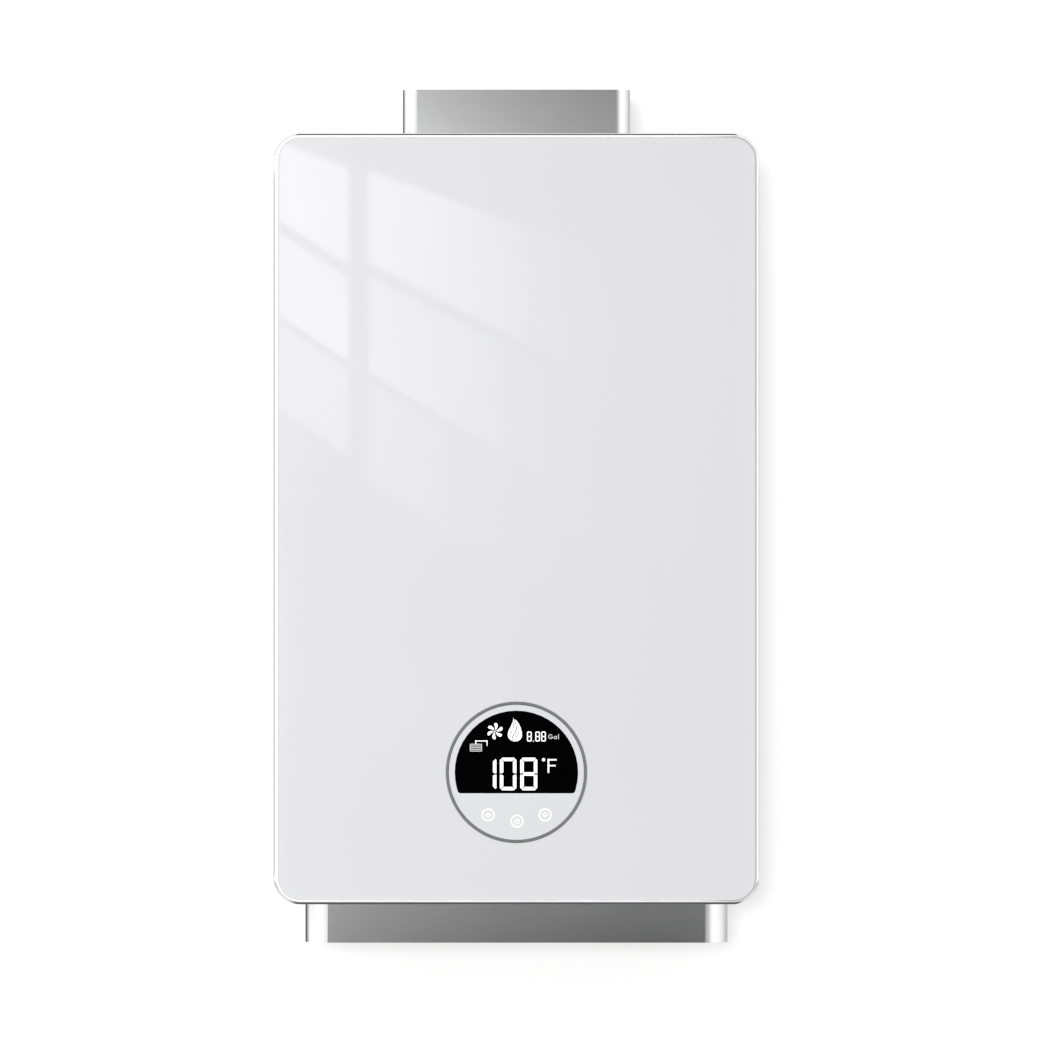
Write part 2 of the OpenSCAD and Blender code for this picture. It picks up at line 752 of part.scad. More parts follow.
// Exhaust fan: scroll casing, front plate, motor, shaft and wheel
module fan_volute() color(zinc) difference() {
    facing_front(volute_y1) linear_extrude(volute_w - sheet) scroll_outline(sheet);
    facing_front(volute_y1 - sheet) linear_extrude(volute_w) scroll_outline(0);
    along_y([fan_x, volute_y1 - 2, fan_z], eye_r, 4);
}

motor_gap = 4;
motor_l = 22;
motor_leg_r = 2.5;
motor_leg_at = [for (a = [90, 210, 330]) (motor_r - 6) * [cos(a), sin(a)]];

module fan_front_plate() color(zinc) difference() {
    facing_front(volute_y0 + sheet) linear_extrude(sheet) intersection() {
        scroll_outline(sheet);
        translate([-case_w, -cover_h]) square([2 * case_w, cover_h + case_z1 - sheet - fit]);
    }
    along_y([fan_x, volute_y0 - 2, fan_z], shaft_r + 1, 4);
}

module fan_motor() color(silver) difference() {
    translate([fan_x, volute_y0, fan_z]) rotate([90, 0, 0]) {
        translate([0, 0, motor_gap]) cylinder(r = motor_r, h = motor_l - 3);
        translate([0, 0, motor_gap + motor_l - 3]) cylinder(r1 = motor_r, r2 = motor_r - 3, h = 3);
        for (p = motor_leg_at) translate(p) cylinder(r = motor_leg_r, h = motor_gap + 1);
    }
    along_y([fan_x, volute_y0 - motor_gap - motor_l + 5, fan_z], shaft_r + run, motor_l);
}

wheel_y0 = volute_y0 + sheet + 3;
wheel_plate = 1.2;
hub_r = 7;
module fan_shaft() color(zinc)
    along_y([fan_x, volute_y0 - motor_gap - motor_l + 6, fan_z], shaft_r,
        motor_gap + motor_l - 6 + sheet + 3 + wheel_w * 0.6);

module wheel_blade() {
    steps = 4;
    r0 = wheel_r - 8;
    outer = [for (i = [0 : steps]) let (q = i / steps)
        (r0 + 8 * q) * [cos(14 * q * q), sin(14 * q * q)]];
    inner = [for (i = [steps : -1 : 0]) let (q = i / steps)
        (r0 + 8 * q) * [cos(14 * q * q + 1.6), sin(14 * q * q + 1.6)]];
    polygon(concat(outer, inner));
}

module fan_wheel() color(zinc) difference() {
    translate([fan_x, wheel_y0, fan_z]) rotate([-90, 0, 0]) {
        cylinder(r = wheel_r, h = wheel_plate);
        cylinder(r = hub_r, h = wheel_w * 0.5);
        for (i = [0 : wheel_blades - 1]) rotate(360 * i / wheel_blades)
            linear_extrude(wheel_w - 1) wheel_blade();
        translate([0, 0, wheel_w - 2]) difference() {
            cylinder(r = wheel_r, h = 2);
            translate([0, 0, -1]) cylinder(r = wheel_r - 5, h = 4);
        }
    }
    along_y([fan_x, wheel_y0 - 1, fan_z], shaft_r + run, wheel_w);
}

// Stack: burner tray, chamber, heat exchanger and hood stand on one another

module stack_wall(z0, z1) translate([0, stack_y, z0]) linear_extrude(z1 - z0)
    rounded_band(stack_w, stack_d, stack_corner, sheet);

// Lip folded out along the front where two pieces of the stack meet
seam_out = 4;
module front_lip(z0) box([stack_corner - stack_w / 2, stack_y0 - seam_out, z0],
    [stack_w / 2 - stack_corner, stack_y0 + sheet / 2, z0 + sheet]);

feet_x = 68;

// Two folded feet that fix a piece of the stack to the case's back
module back_feet(z) for (s = [-1, 1])
    translate([s * feet_x, 0, z]) {
        box([-9, stack_y1 - sheet / 2, 0], [9, in_y1, sheet]);
        box([-9, in_y1 - sheet, 0], [9, in_y1, 10]);
    }

function hood_side(t) = [
    [-stack_w / 2 + t, hood_z0], [stack_w / 2 - t, hood_z0], [stack_w / 2 - t, hood_z0 + 6],
    [riser_x1 - t, hood_z1 - t], [riser_x0 + t, hood_z1 - t], [-stack_w / 2 + t, hood_z0 + 6]
];
module exhaust_hood() color(zinc) difference() {
    union() {
        facing_front(stack_y1) linear_extrude(stack_d) polygon(hood_side(0));
        box([riser_x0, volute_y1, hood_z1 - 8], [riser_x1, stack_y1, riser_z1]);
        front_lip(hood_z0);
    }
    facing_front(stack_y1 - sheet) linear_extrude(stack_d - 2 * sheet)
        polygon(concat(hood_side(sheet), [[-stack_w / 2 + sheet, hood_z0 - 1]]));
    box([riser_x0 + sheet, volute_y1 + sheet, hood_z1 - 10],
        [riser_x1 - sheet, stack_y1 - sheet, riser_z1 - sheet]);
    along_y([fan_x, volute_y1 - 2, fan_z], eye_r, sheet + 4);
}

module exchanger_shell() color(copper) difference() {
    union() {
        stack_wall(exchanger_z0, hood_z0);
        back_feet(hood_z0 - 14);
        front_lip(hood_z0 - sheet);
        front_lip(exchanger_z0);
    }
    for (p = tube_at) along_x([-stack_w, p[0], p[1]], tube_r + fit, 2 * stack_w);
}

fin_t = 0.6;
fin_over = 13;
fin_pitch = (stack_w - 2 * stack_corner) / (fin_count - 1);
module exchanger_fins() color(copper)
    for (i = [0 : fin_count - 1])
        translate([(i - (fin_count - 1) / 2) * fin_pitch, 0, 0]) difference() {
            box([-fin_t / 2, stack_y0 + sheet + fit, low_row_z - fin_over],
                [fin_t / 2, stack_y1 - sheet - fit, low_row_z + row_rise + fin_over]);
            for (p = tube_at) along_x([-1, p[0], p[1]], tube_r + run, 2);
        }

// Return bends, brazed over the tubes' ends
bend_wall = 0.6;
module return_bend(a, b, side, r) {
    span = norm(b - a);
    translate([side * (end_plate_x + stub - 1), (a[0] + b[0]) / 2, (a[1] + b[1]) / 2])
        rotate([atan2(b[1] - a[1], b[0] - a[0]), 0, 0])
            rotate([0, 0, side > 0 ? -90 : 90]) rotate_extrude(angle = 180)
                translate([span / 2, 0]) circle(r);
}

module tube_run(r, bend_r, over) {
    half = end_plate_x + stub + over;
    for (p = tube_at) along_x([-half, p[0], p[1]], r, 2 * half);
    for (i = [0 : 3]) return_bend(tube_at[i], tube_at[i + 1], i % 2 == 0 ? -1 : 1, bend_r);
}

module exchanger_tubes() color(copper) difference() {
    tube_run(tube_r, tube_r + bend_wall, 0);
    tube_run(tube_r - tube_wall, tube_r - tube_wall - 0.4, 0.1);
}

module combustion_chamber() color(copper) difference() {
    union() {
        stack_wall(tray_z1, exchanger_z0);
        front_lip(exchanger_z0 - sheet);
        front_lip(tray_z1);
    }
    for (x = electrode_x) along_y([x, stack_y0 - 1, electrode_z], insulator_r + fit, sheet + 2);
}

// Water coil: up from the flow sensor, round the chamber and into the heat exchanger
coil_gap = 0.4;
coil_x = stack_w / 2 + tube_r + coil_gap;
coil_y0 = stack_y0 - tube_r - coil_gap;
coil_y1 = stack_y1 + tube_r + coil_gap;
coil_bend = stack_corner + tube_r + coil_gap;
coil_z0 = tray_z1 + 26;
coil_z1 = exchanger_z0 - 16;
coil_corners = [
    [coil_x - coil_bend, coil_y0 + coil_bend, 0], [-coil_x + coil_bend, coil_y0 + coil_bend, 270],
    [-coil_x + coil_bend, coil_y1 - coil_bend, 180], [coil_x - coil_bend, coil_y1 - coil_bend, 90]
];
coil_path = [
    for (n = [0 : 4 * coil_turns - 2], s = [0 : 5])
        let (
            k = coil_corners[n % 4],
            a = k[2] - 18 * s,
            share = (n + 0.5 + (s / 5 - 0.5) * 0.35) / (4 * coil_turns)
        ) [k[0] + coil_bend * cos(a), k[1] + coil_bend * sin(a), coil_z0 + (coil_z1 - coil_z0) * share]
];
coil_start = smooth_path([
    [water_x, mid_y, sensor_z1], [water_x, mid_y, sensor_z1 + 5], [water_x, mid_y, sensor_z1 + 12],
    [coil_x + 1, mid_y, tray_z0 - 10], [coil_x + 1, mid_y, tray_z0 + 20],
    [coil_x, mid_y, tray_z1 - 14], [coil_x, mid_y - 2, tray_z1 + 8], [coil_x, mid_y - 9, coil_z0 - 2]
], 3);
coil_end = smooth_path([
    [coil_x - coil_bend, coil_y1, coil_z1 - 3], [coil_x - 4, coil_y1 - 2, coil_z1 + 3],
    [coil_x + 6, tube_at[0][0] + 7, coil_z1 + 14], [coil_x + 10, tube_at[0][0], low_row_z - 20],
    [coil_x + 9, tube_at[0][0], low_row_z - 10], [coil_x + 5, tube_at[0][0], low_row_z - 2],
    [end_plate_x + stub + 5, tube_at[0][0], low_row_z],
    [end_plate_x + stub + 2, tube_at[0][0], low_row_z], [end_plate_x + stub, tube_at[0][0], low_row_z]
], 3);
coil_r = tube_r - 0.5;
coil_line = concat(coil_start, coil_path, coil_end);
function least_gap(p, r, apart) = min([
    for (i = [0 : len(p) - 1 - apart], j = [i + apart : len(p) - 1]) norm(p[i] - p[j])
]) - 2 * r;
module water_coil() color(copper) {
    echo(coil_gap_to_itself = least_gap(coil_line, coil_r, 12));
    bent_pipe(coil_line, coil_r, tube_wall, 10, [1, 0, 0]);
}

hot_path = smooth_path([
    [-end_plate_x - stub, tube_at[4][0], low_row_z], [-end_plate_x - stub - 2, tube_at[4][0], low_row_z],
    [-end_plate_x - stub - 5, tube_at[4][0], low_row_z], [-coil_x - 11, tube_at[4][0], low_row_z - 4],
    [-coil_x - 15, tube_at[4][0], low_row_z - 12],
    [-coil_x - 15, tube_at[4][0], low_row_z - 24], [-coil_x - 15, tube_at[4][0], tray_z1 + 20],
    [-coil_x - 13, mid_y - 4, tray_z0 + 20], [-coil_x - 8, mid_y, tray_z0 - 10],
    [-water_x, mid_y, base_z1 + 80], [-water_x, mid_y, base_z1 + 50], [-water_x, mid_y, inlet_z1]
], 3);
module hot_pipe() color(copper) bent_pipe(hot_path, coil_r, tube_wall, 10, [0, 1, 0]);

thermostat_x = 56;
thermostat_r = 8;
thermostat_h = 8;
thermostat_foot = 28;
module limit_thermostats() color(black)
    for (s = [-1, 1]) translate([s * thermostat_x, stack_y0, hood_z0 - 20]) rotate([90, 0, 0]) {
        linear_extrude(1) rounded_rect(thermostat_foot, thermostat_r + 2, 3);
        cylinder(r = thermostat_r, h = thermostat_h);
        translate([0, 0, thermostat_h]) linear_extrude(6) rounded_rect(11, 6, 1);
    }

module outlet_sensor() color(brass) translate([-water_x, mid_y, base_z1 + 40]) difference() {
    union() {
        cylinder(r = tube_r + 2, h = 12);
        translate([0, 0, 6]) rotate([0, 90, 0]) cylinder(r = 3.5, h = 18);
    }
    translate([0, 0, -1]) cylinder(r = tube_r, h = 14);
}

// Burner: tray, slotted strips, gas manifold and electrodes
strip_pitch = (stack_w - 14) / 8;
strip_xs = [for (i = [0 : strip_count - 1]) (i - (strip_count - 1) / 2) * strip_pitch];
strip_t = 12;
strip_wall = 1;
throat_r = 4.5;
throat_l = 12;
rail_h = 4;
module burner_tray() color(zinc) difference() {
    union() {
        stack_wall(tray_z0, tray_z1);
        for (y = [stack_y1 - 12, stack_y1 - 30])
            box([-stack_w / 2, y - 3, tray_z0], [stack_w / 2, y + 3, tray_z0 + rail_h]);
        back_feet(tray_z0 + 4);
        front_lip(tray_z1 - sheet);
    }
    for (x = strip_xs) along_y([x, stack_y0 - 1, jet_z], 6, sheet + 2);
    for (s = [-1, 1])
        along_y([s * lug_x, stack_y0 - 1, lug_z0 + lug_h / 2], side_screw_r + fit, sheet + 2);
}

module burner_strips() color(zinc) for (x = strip_xs) difference() {
    y0 = stack_y0 + sheet + 1;
    y1 = stack_y1 - sheet - 5;
    z0 = tray_z0 + rail_h;
    z1 = tray_z1 - 6;
    w = strip_wall;
    translate([x - strip_t / 2, 0, 0]) rotate([90, 0, 90]) linear_extrude(strip_t) polygon([
        [y0, jet_z - 9], [y0, jet_z + 9], [y0 + 8, jet_z + 13], [y0 + 8, z1], [y1, z1], [y1, z0],
        [y1 - 28, z0], [y0 + 18, jet_z - 9]
    ]);
    translate([x - strip_t / 2 + w, 0, 0]) rotate([90, 0, 90]) linear_extrude(strip_t - 2 * w) polygon([
        [y0 + w, jet_z - 9 + w], [y0 + w, jet_z + 9 - w], [y0 + 8 + w, jet_z + 13 - w],
        [y0 + 8 + w, z1 - w], [y1 - w, z1 - w], [y1 - w, z0 + w], [y1 - 28 + w, z0 + w],
        [y0 + 18 + w, jet_z - 9 + w]
    ]);
    along_y([x, y0 - 1, jet_z], throat_r, throat_l);
    for (y = [y0 + 11 : 5 : y1 - 4])
        box([x - strip_t * 0.36, y, z1 - 8], [x + strip_t * 0.36, y + 1.6, z1 + 1]);
}

end_wall = 4;
jet_r = 0.8;
jet_l = 5;
module gas_manifold() color(silver) difference() {
    union() {
        box([-manifold_w / 2, manifold_y0, jet_z - manifold_h / 2],
            [manifold_w / 2, manifold_y1, jet_z + manifold_h / 2]);
        for (s = [-1, 1])
            box([s * lug_x - lug_w / 2, manifold_y0, lug_z0],
                [s * lug_x + lug_w / 2, stack_y0, lug_z0 + lug_h]);
        for (x = strip_xs) translate([x, manifold_y1 - 1, jet_z]) rotate([-90, 0, 0]) {
            cylinder(r = 4, h = 2.5);
            translate([0, 0, 2.5]) cylinder(r1 = 3.5, r2 = 2, h = 3);
        }
        along_z([riser_at[0], riser_at[1], valve_z1], riser_r, jet_z - manifold_h / 2 - valve_z1);
    }
    along_x([-manifold_w / 2 + end_wall, manifold_y0 + manifold_t / 2, jet_z],
        min(manifold_t, manifold_h) / 2 - manifold_wall, manifold_w - 2 * end_wall);
    along_z([riser_at[0], riser_at[1], valve_z1 - 1], riser_r - riser_wall, jet_z - valve_z1);
    for (x = strip_xs) along_y([x, manifold_y1 - manifold_t / 2, jet_z], jet_r, manifold_t + jet_l);
    lug_screw_places() cylinder(r = side_screw_r + fit, h = 3 * lug_depth, center = true);
}

module spark_electrodes() color(ceramic)
    for (x = electrode_x) translate([x, stack_y0, electrode_z]) rotate([-90, 0, 0]) {
        translate([0, 0, -12]) cylinder(r = insulator_r, h = 26);
        translate([0, 0, -2]) cylinder(r = insulator_r + 2.5, h = 2);
        translate([0, 0, -15]) cylinder(r = 1.2, h = 45);
    }

// Pipe connection: thread and hexagon under the base plate, flange and stub above it
flange_r = 19;
hex_r = 14.6;
stub_r = 11;
module pipe_fitting(x, y, z1) translate([x, y, 0]) {
    z0 = base_z0 - fitting_drop;
    translate([0, 0, z0]) cylinder(r1 = thread_r - 1, r2 = thread_r, h = 1);
    translate([0, 0, z0 + 1]) cylinder(r = thread_r, h = thread_l);
    translate([0, 0, z0 + 1 + thread_l]) cylinder(r = hex_r, h = fitting_drop - thread_l - 3, $fn = 6);
    translate([0, 0, base_z0 - 3]) cylinder(r = stub_r, h = z1 - base_z0 + 3);
    translate([0, 0, base_z1]) cylinder(r = flange_r, h = 3);
}

module fitting_bore(x, y, z1)
    along_z([x, y, base_z0 - fitting_drop - 1], pipe_bore_r, z1 - base_z0 + fitting_drop + 2);

module gas_inlet() color(brass) difference() {
    pipe_fitting(gas_x, gas_y, valve_z0);
    fitting_bore(gas_x, gas_y, valve_z0);
}

// Gas valve: two chambers in line, joined by an orifice that both valve discs close
chamber_r = 12;
orifice_r = 6;
orifice_x0 = gas_x + 12;
orifice_x1 = gas_x + 24;
disc_r = 9;
disc_t = 3;
plunger_r = 6;
module gas_valve_body() color(silver) difference() {
    union() {
        box([valve_x0, valve_y0, valve_z0], [valve_x1, valve_y1, valve_z1]);
        for (x = [valve_x0 + 6, valve_x1 - 6], z = [valve_z0 + 6, valve_z1 - 6])
            along_y([x, valve_y0 - 1.5, z], 4, 5);
    }
    along_x([valve_x0 - 1, gas_y, valve_axis_z], chamber_r, orifice_x0 - valve_x0 + 1);
    along_x([orifice_x0 - 1, gas_y, valve_axis_z], orifice_r, orifice_x1 - orifice_x0 + 2);
    along_x([orifice_x1, gas_y, valve_axis_z], chamber_r, valve_x1 - orifice_x1 + 1);
    along_z([gas_x, gas_y, valve_z0 - 1], pipe_bore_r, valve_axis_z - valve_z0);
    along_z([riser_at[0], riser_at[1], valve_axis_z], riser_r - riser_wall, valve_z1 - valve_axis_z + 1);
}

// Solenoid: flanged housing with a guide bore; it points away from the valve body along +X
guide_l = 26;
module solenoid_housing() difference() {
    union() {
        cylinder(r = magnet_r - 2, h = 3);
        translate([0, 0, 3]) cylinder(r = magnet_r, h = magnet_l - 5);
        translate([0, 0, magnet_l - 2]) cylinder(r1 = magnet_r, r2 = magnet_r - 2, h = 2);
        translate([-8, -magnet_r - 5, 8]) cube([16, 8, 14]);
    }
    translate([0, 0, -1]) cylinder(r = plunger_r + run, h = guide_l + 1);
}

// Plunger with its sealing disc; the disc's face lies at the origin and the stem points along +Z
module valve_plunger(reach, travel) {
    cylinder(r = disc_r, h = disc_t);
    cylinder(r = plunger_r, h = reach + guide_l - travel - 1);
}

module left_of_valve() translate([valve_x0, gas_y, valve_axis_z]) rotate([0, -90, 0]) children();
module right_of_valve() translate([valve_x1, gas_y, valve_axis_z]) rotate([0, 90, 0]) children();

module main_solenoid() color(black) left_of_valve() solenoid_housing();
module main_plunger() color(zinc) left_of_valve() translate([0, 0, valve_x0 - orifice_x0 + fit])
    valve_plunger(orifice_x0 - valve_x0 - fit, main_travel);
module modulating_coil() color(black) right_of_valve() solenoid_housing();
module modulating_armature() color(zinc) right_of_valve()
    translate([0, 0, orifice_x1 - valve_x1 + fit])
        valve_plunger(valve_x1 - orifice_x1 - fit, mod_travel);

// Water inlet with the drain branch, flow sensor and outlet
drain_bore = drain_r + 0.2;
boss_z0 = base_z0 - 5;
branch_z = base_z1 + 12;
module water_inlet() color(brass) difference() {
    union() {
        pipe_fitting(water_x, mid_y, inlet_z1);
        along_x([water_x, mid_y, branch_z], 8, drain_x - water_x);
        along_z([drain_x, mid_y, boss_z0], drain_boss_r, branch_z + 8 - boss_z0);
    }
    fitting_bore(water_x, mid_y, inlet_z1);
    along_x([water_x, mid_y, branch_z], 4.5, drain_x - water_x);
    along_z([drain_x, mid_y, boss_z0 - 1], drain_bore, branch_z - boss_z0 + 1);
}

// Strainer in the inlet's bore, held by its lower collar
filter_l = 24;
filter_wall = 0.8;
module inlet_filter() color(zinc) translate([water_x, mid_y, base_z0 - fitting_drop + 3]) difference() {
    union() {
        cylinder(r = pipe_bore_r - fit, h = 2.5);
        cylinder(r = pipe_bore_r - 1.2, h = filter_l);
    }
    translate([0, 0, -1]) cylinder(r = pipe_bore_r - 1.2 - filter_wall, h = filter_l);
    for (row = [0 : 4], a = [0 : 45 : 135])
        translate([0, 0, 5.5 + 3.6 * row]) rotate([0, 90, a])
            cylinder(r = 1, h = 4 * pipe_bore_r, center = true);
}

module hot_outlet() color(brass) difference() {
    pipe_fitting(-water_x, mid_y, inlet_z1);
    fitting_bore(-water_x, mid_y, inlet_z1);
}

rotor_r = 8.6;
rotor_bore = 9;
axle_r = 1.2;
rotor_z0 = inlet_z1 + 14;
rotor_h = 20;
module spider(z) for (a = [0, 120, 240]) translate([water_x, mid_y, z]) rotate(a)
    translate([0, -0.8, 0]) cube([rotor_bore + 1, 1.6, 4]);
module flow_sensor() color(black) difference() {
    union() {
        difference() {
            union() {
                along_z([water_x, mid_y, inlet_z1], 12.5, sensor_h);
                along_z([water_x, mid_y, inlet_z1], 14, 5);
                along_z([water_x, mid_y, sensor_z1 - 5], 14, 5);
                box([water_x - 8, mid_y - 22, rotor_z0 - 2], [water_x + 8, mid_y - 8, rotor_z0 + 18]);
            }
            along_z([water_x, mid_y, inlet_z1 - 1], rotor_bore, sensor_h - 6);
            along_z([water_x, mid_y, inlet_z1], pipe_bore_r - 2, sensor_h + 1);
        }
        spider(rotor_z0 - 5);
        spider(rotor_z0 + rotor_h + 1);
        along_z([water_x, mid_y, rotor_z0 - 5], axle_r, rotor_h + 10);
    }
}

module flow_turbine() color(white) translate([water_x, mid_y, rotor_z0]) difference() {
    union() {
        cylinder(r = 3.2, h = rotor_h);
        intersection() {
            cylinder(r = rotor_r, h = rotor_h);
            for (i = [0 : 5]) rotate(60 * i) translate([0, 0, rotor_h / 2]) rotate([32, 0, 0])
                translate([0, -0.6, -rotor_h / 2 - 4]) cube([rotor_r + 1, 1.2, rotor_h + 8]);
        }
    }
    translate([0, 0, -1]) cylinder(r = axle_r + run, h = rotor_h + 2);
}

plug_l = 14;
plug_head = 9;
module drain_plug() color(rubber) translate([drain_x, mid_y, boss_z0]) difference() {
    union() {
        cylinder(r = drain_r, h = plug_l);
        translate([0, 0, -plug_head - fit]) cylinder(r = drain_r + 3, h = plug_head);
        translate([0, 0, -plug_head - fit]) for (a = [0 : 45 : 315]) rotate(a)
            translate([drain_r + 3, 0, 0]) cylinder(r = 1.2, h = plug_head);
        translate([0, 0, -fit]) cylinder(r = drain_r, h = fit);
    }
    translate([0, 0, plug_l - 5]) difference() {
        cylinder(r = drain_r + 1, h = 2);
        translate([0, 0, -1]) cylinder(r = drain_r - 1.2, h = 4);
    }
}

// Sideways room that the case's rounded upright edge takes at a depth behind its front wall
function edge_inset(depth) = let (r = case_corner - sheet)
    depth >= r ? 0 : r - sqrt(r * r - (r - depth) * (r - depth));

// Control box on the left wall with its board and lid, and the igniter on the right wall
unit_d = 30;
ear_d = 10;
unit_wall = 2;
unit_front = 3;
unit_inset = edge_inset(unit_front) + 1;
unit_clear = 2.75;
unit_w = in_x - unit_inset + valve_x0 - magnet_l - unit_clear;
vent_margin = 14;
vent_count = 7;
vent_w = 3;
vent_h = 60;
vent_pitch = (unit_w - 2 * vent_margin - vent_w) / (vent_count - 1);
socket_pitch = 26;
socket_up = 20;
socket_w = 14;
socket_h = 8;
socket_deep = 12;
unit_lid = 2;
unit_y0 = in_y0 + unit_front;
post_r = 3;
post_h = 5;
unit_posts = [for (x = [9, unit_w - 9], z = [9, unit_h - 9]) [x, z]];

// Places a drawing on the box's floor; x and y run across it and z points to the front
module in_unit() translate([unit_inset - in_x, unit_y0 + unit_d, unit_z0]) rotate([90, 0, 0]) children();

module control_box() color(black) in_unit() difference() {
    union() {
        difference() {
            cube([unit_w, unit_h, unit_d - unit_lid]);
            translate([unit_wall, unit_wall, unit_wall])
                cube([unit_w - 2 * unit_wall, unit_h - 2 * unit_wall, unit_d]);
        }
        for (p = unit_posts) translate(p) cylinder(r = post_r, h = unit_wall + post_h);
        for (y = [12, unit_h - 22]) translate([-unit_inset, y, 0]) cube([unit_inset, 10, ear_d]);
    }
    for (i = [0 : 2]) translate([unit_w - unit_wall - 1, socket_up + socket_pitch * i, socket_deep])
        cube([unit_wall + 2, socket_w, socket_h]);
}

module control_board() color(board_green) in_unit() translate([0, 0, unit_wall + post_h]) {
    difference() {
        translate([unit_wall + 1, unit_wall + 1, 0])
            cube([unit_w - 2 * unit_wall - 2, unit_h - 2 * unit_wall - 2, board_t]);
        for (p = unit_posts) translate([p[0], p[1], -1]) cylinder(r = 1.6, h = board_t + 2);
    }
    translate([14, 16, board_t]) cube([26, 22, 14]);
    translate([16, 46, board_t]) cube([16, 20, 12]);
    translate([16, 70, board_t]) cube([16, 20, 12]);
    translate([44, 62, board_t]) cube([16, 16, 3]);
    for (i = [0 : 2]) translate([unit_w - 20, socket_up + 1 + socket_pitch * i, board_t]) cube([12, 12, 7]);
    for (y = [20, 36]) translate([50, y, board_t]) cylinder(r = 6, h = 15);
}

module control_lid() color(black) in_unit() translate([0, 0, unit_d - unit_lid]) difference() {
    cube([unit_w, unit_h, unit_lid]);
    for (i = [0 : vent_count - 1]) translate([vent_margin + vent_pitch * i, (unit_h - vent_h) / 2, -1])
        cube([vent_w, vent_h, unit_lid + 2]);
}

igniter_w = 30;
igniter_d = 24;
igniter_x1 = in_x - unit_inset;
igniter_y0 = in_y0 + unit_front;
module igniter_unit() color(black) {
    box([igniter_x1 - igniter_w, igniter_y0, igniter_z0],
        [igniter_x1, igniter_y0 + igniter_d, igniter_z1 - 6]);
    along_z([igniter_x1 - igniter_w / 2, igniter_y0 + igniter_d / 2, igniter_z1 - 6], 5, 6);
    box([igniter_x1 - igniter_w - 4, igniter_y0 + 5, igniter_z0 + 10],
        [igniter_x1 - igniter_w, igniter_y0 + igniter_d - 5, igniter_z0 + 22]);
    for (z = [igniter_z0, igniter_z1 - 16])
        box([igniter_x1, igniter_y0 + igniter_d - ear_d + 2, z], [in_x, igniter_y0 + igniter_d, z + 10]);
}

// Wall bracket, the rail that hooks over it and the lower bumpers
lip_h = 12;
lip_y = -4.5;
module wall_bracket() color(zinc) difference() {
    translate([-bracket_w / 2, 0, 0]) rotate([90, 0, 90]) linear_extrude(bracket_w) polygon([
        [0, -bracket_h / 2], [0, bracket_h / 2], [lip_y, bracket_h / 2],
        [lip_y, bracket_h / 2 + lip_h], [lip_y - bracket_t, bracket_h / 2 + lip_h],
        [lip_y - bracket_t, bracket_h / 2 - bracket_t], [-bracket_t, bracket_h / 2 - bracket_t],
        [-bracket_t, -bracket_h / 2]
    ]);
    for (s = [-1, 1], t = [-1, 1])
        along_y([s * hole_pitch_x / 2, -bracket_t - 1, t * hole_pitch_z / 2], hole_r, bracket_t + 2);
}

module hanging_rail() color(zinc) {
    z = bracket_h / 2 + lip_h;
    y = lip_y + 0.3;
    translate([-bracket_w / 2 - 5, 0, 0]) rotate([90, 0, 90]) linear_extrude(bracket_w + 10) polygon([
        [case_y1, z - 26], [case_y1 + bracket_t, z - 26], [case_y1 + bracket_t, z], [y, z],
        [y, z - lip_h + 2], [y + bracket_t, z - lip_h + 2], [y + bracket_t, z + bracket_t],
        [case_y1, z + bracket_t]
    ]);
}

bumper_x = 112;
bumper_up = 44;
bumper_r = 11;
bumper_tip_r = 9;
bumper_hole_r = 3.5;
bumper_floor = 3;
module wall_bumpers() color(rubber)
    for (s = [-1, 1]) translate([s * bumper_x, case_y1, case_z0 + bumper_up]) rotate([-90, 0, 0])
        difference() {
            cylinder(r1 = bumper_r, r2 = bumper_tip_r, h = wall_gap);
            translate([0, 0, bumper_floor]) cylinder(r = bumper_hole_r, h = wall_gap);
        }

cover_frame();
glass_panel();
glass_tape();
cover_pan();
cover_seal();
cover_screws();
display_ring();
touch_panel();
display_lens();
display_board();
display_housing();
touch_springs();
case_shell();
top_plate();
base_plate();
case_screws();
wall_bracket();
hanging_rail();
wall_bumpers();
cord_grommet();
flue_box();
flue_top();
flue_gasket();
flue_collar();
backdraft_flap();
flap_pin();
fan_volute();
fan_front_plate();
fan_motor();
fan_shaft();
fan_wheel();
exhaust_hood();
exchanger_shell();
exchanger_fins();
exchanger_tubes();
combustion_chamber();
water_coil();
hot_pipe();
limit_thermostats();
outlet_sensor();
burner_tray();
burner_strips();
gas_manifold();
spark_electrodes();
inlet_filter();
gas_inlet();
gas_valve_body();
main_solenoid();
main_plunger();
modulating_coil();
modulating_armature();
water_inlet();
flow_sensor();
flow_turbine();
hot_outlet();
drain_plug();
control_box();
control_board();
control_lid();
igniter_unit();
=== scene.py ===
import math

import bmesh
import bpy
from mathutils import Matrix, Vector


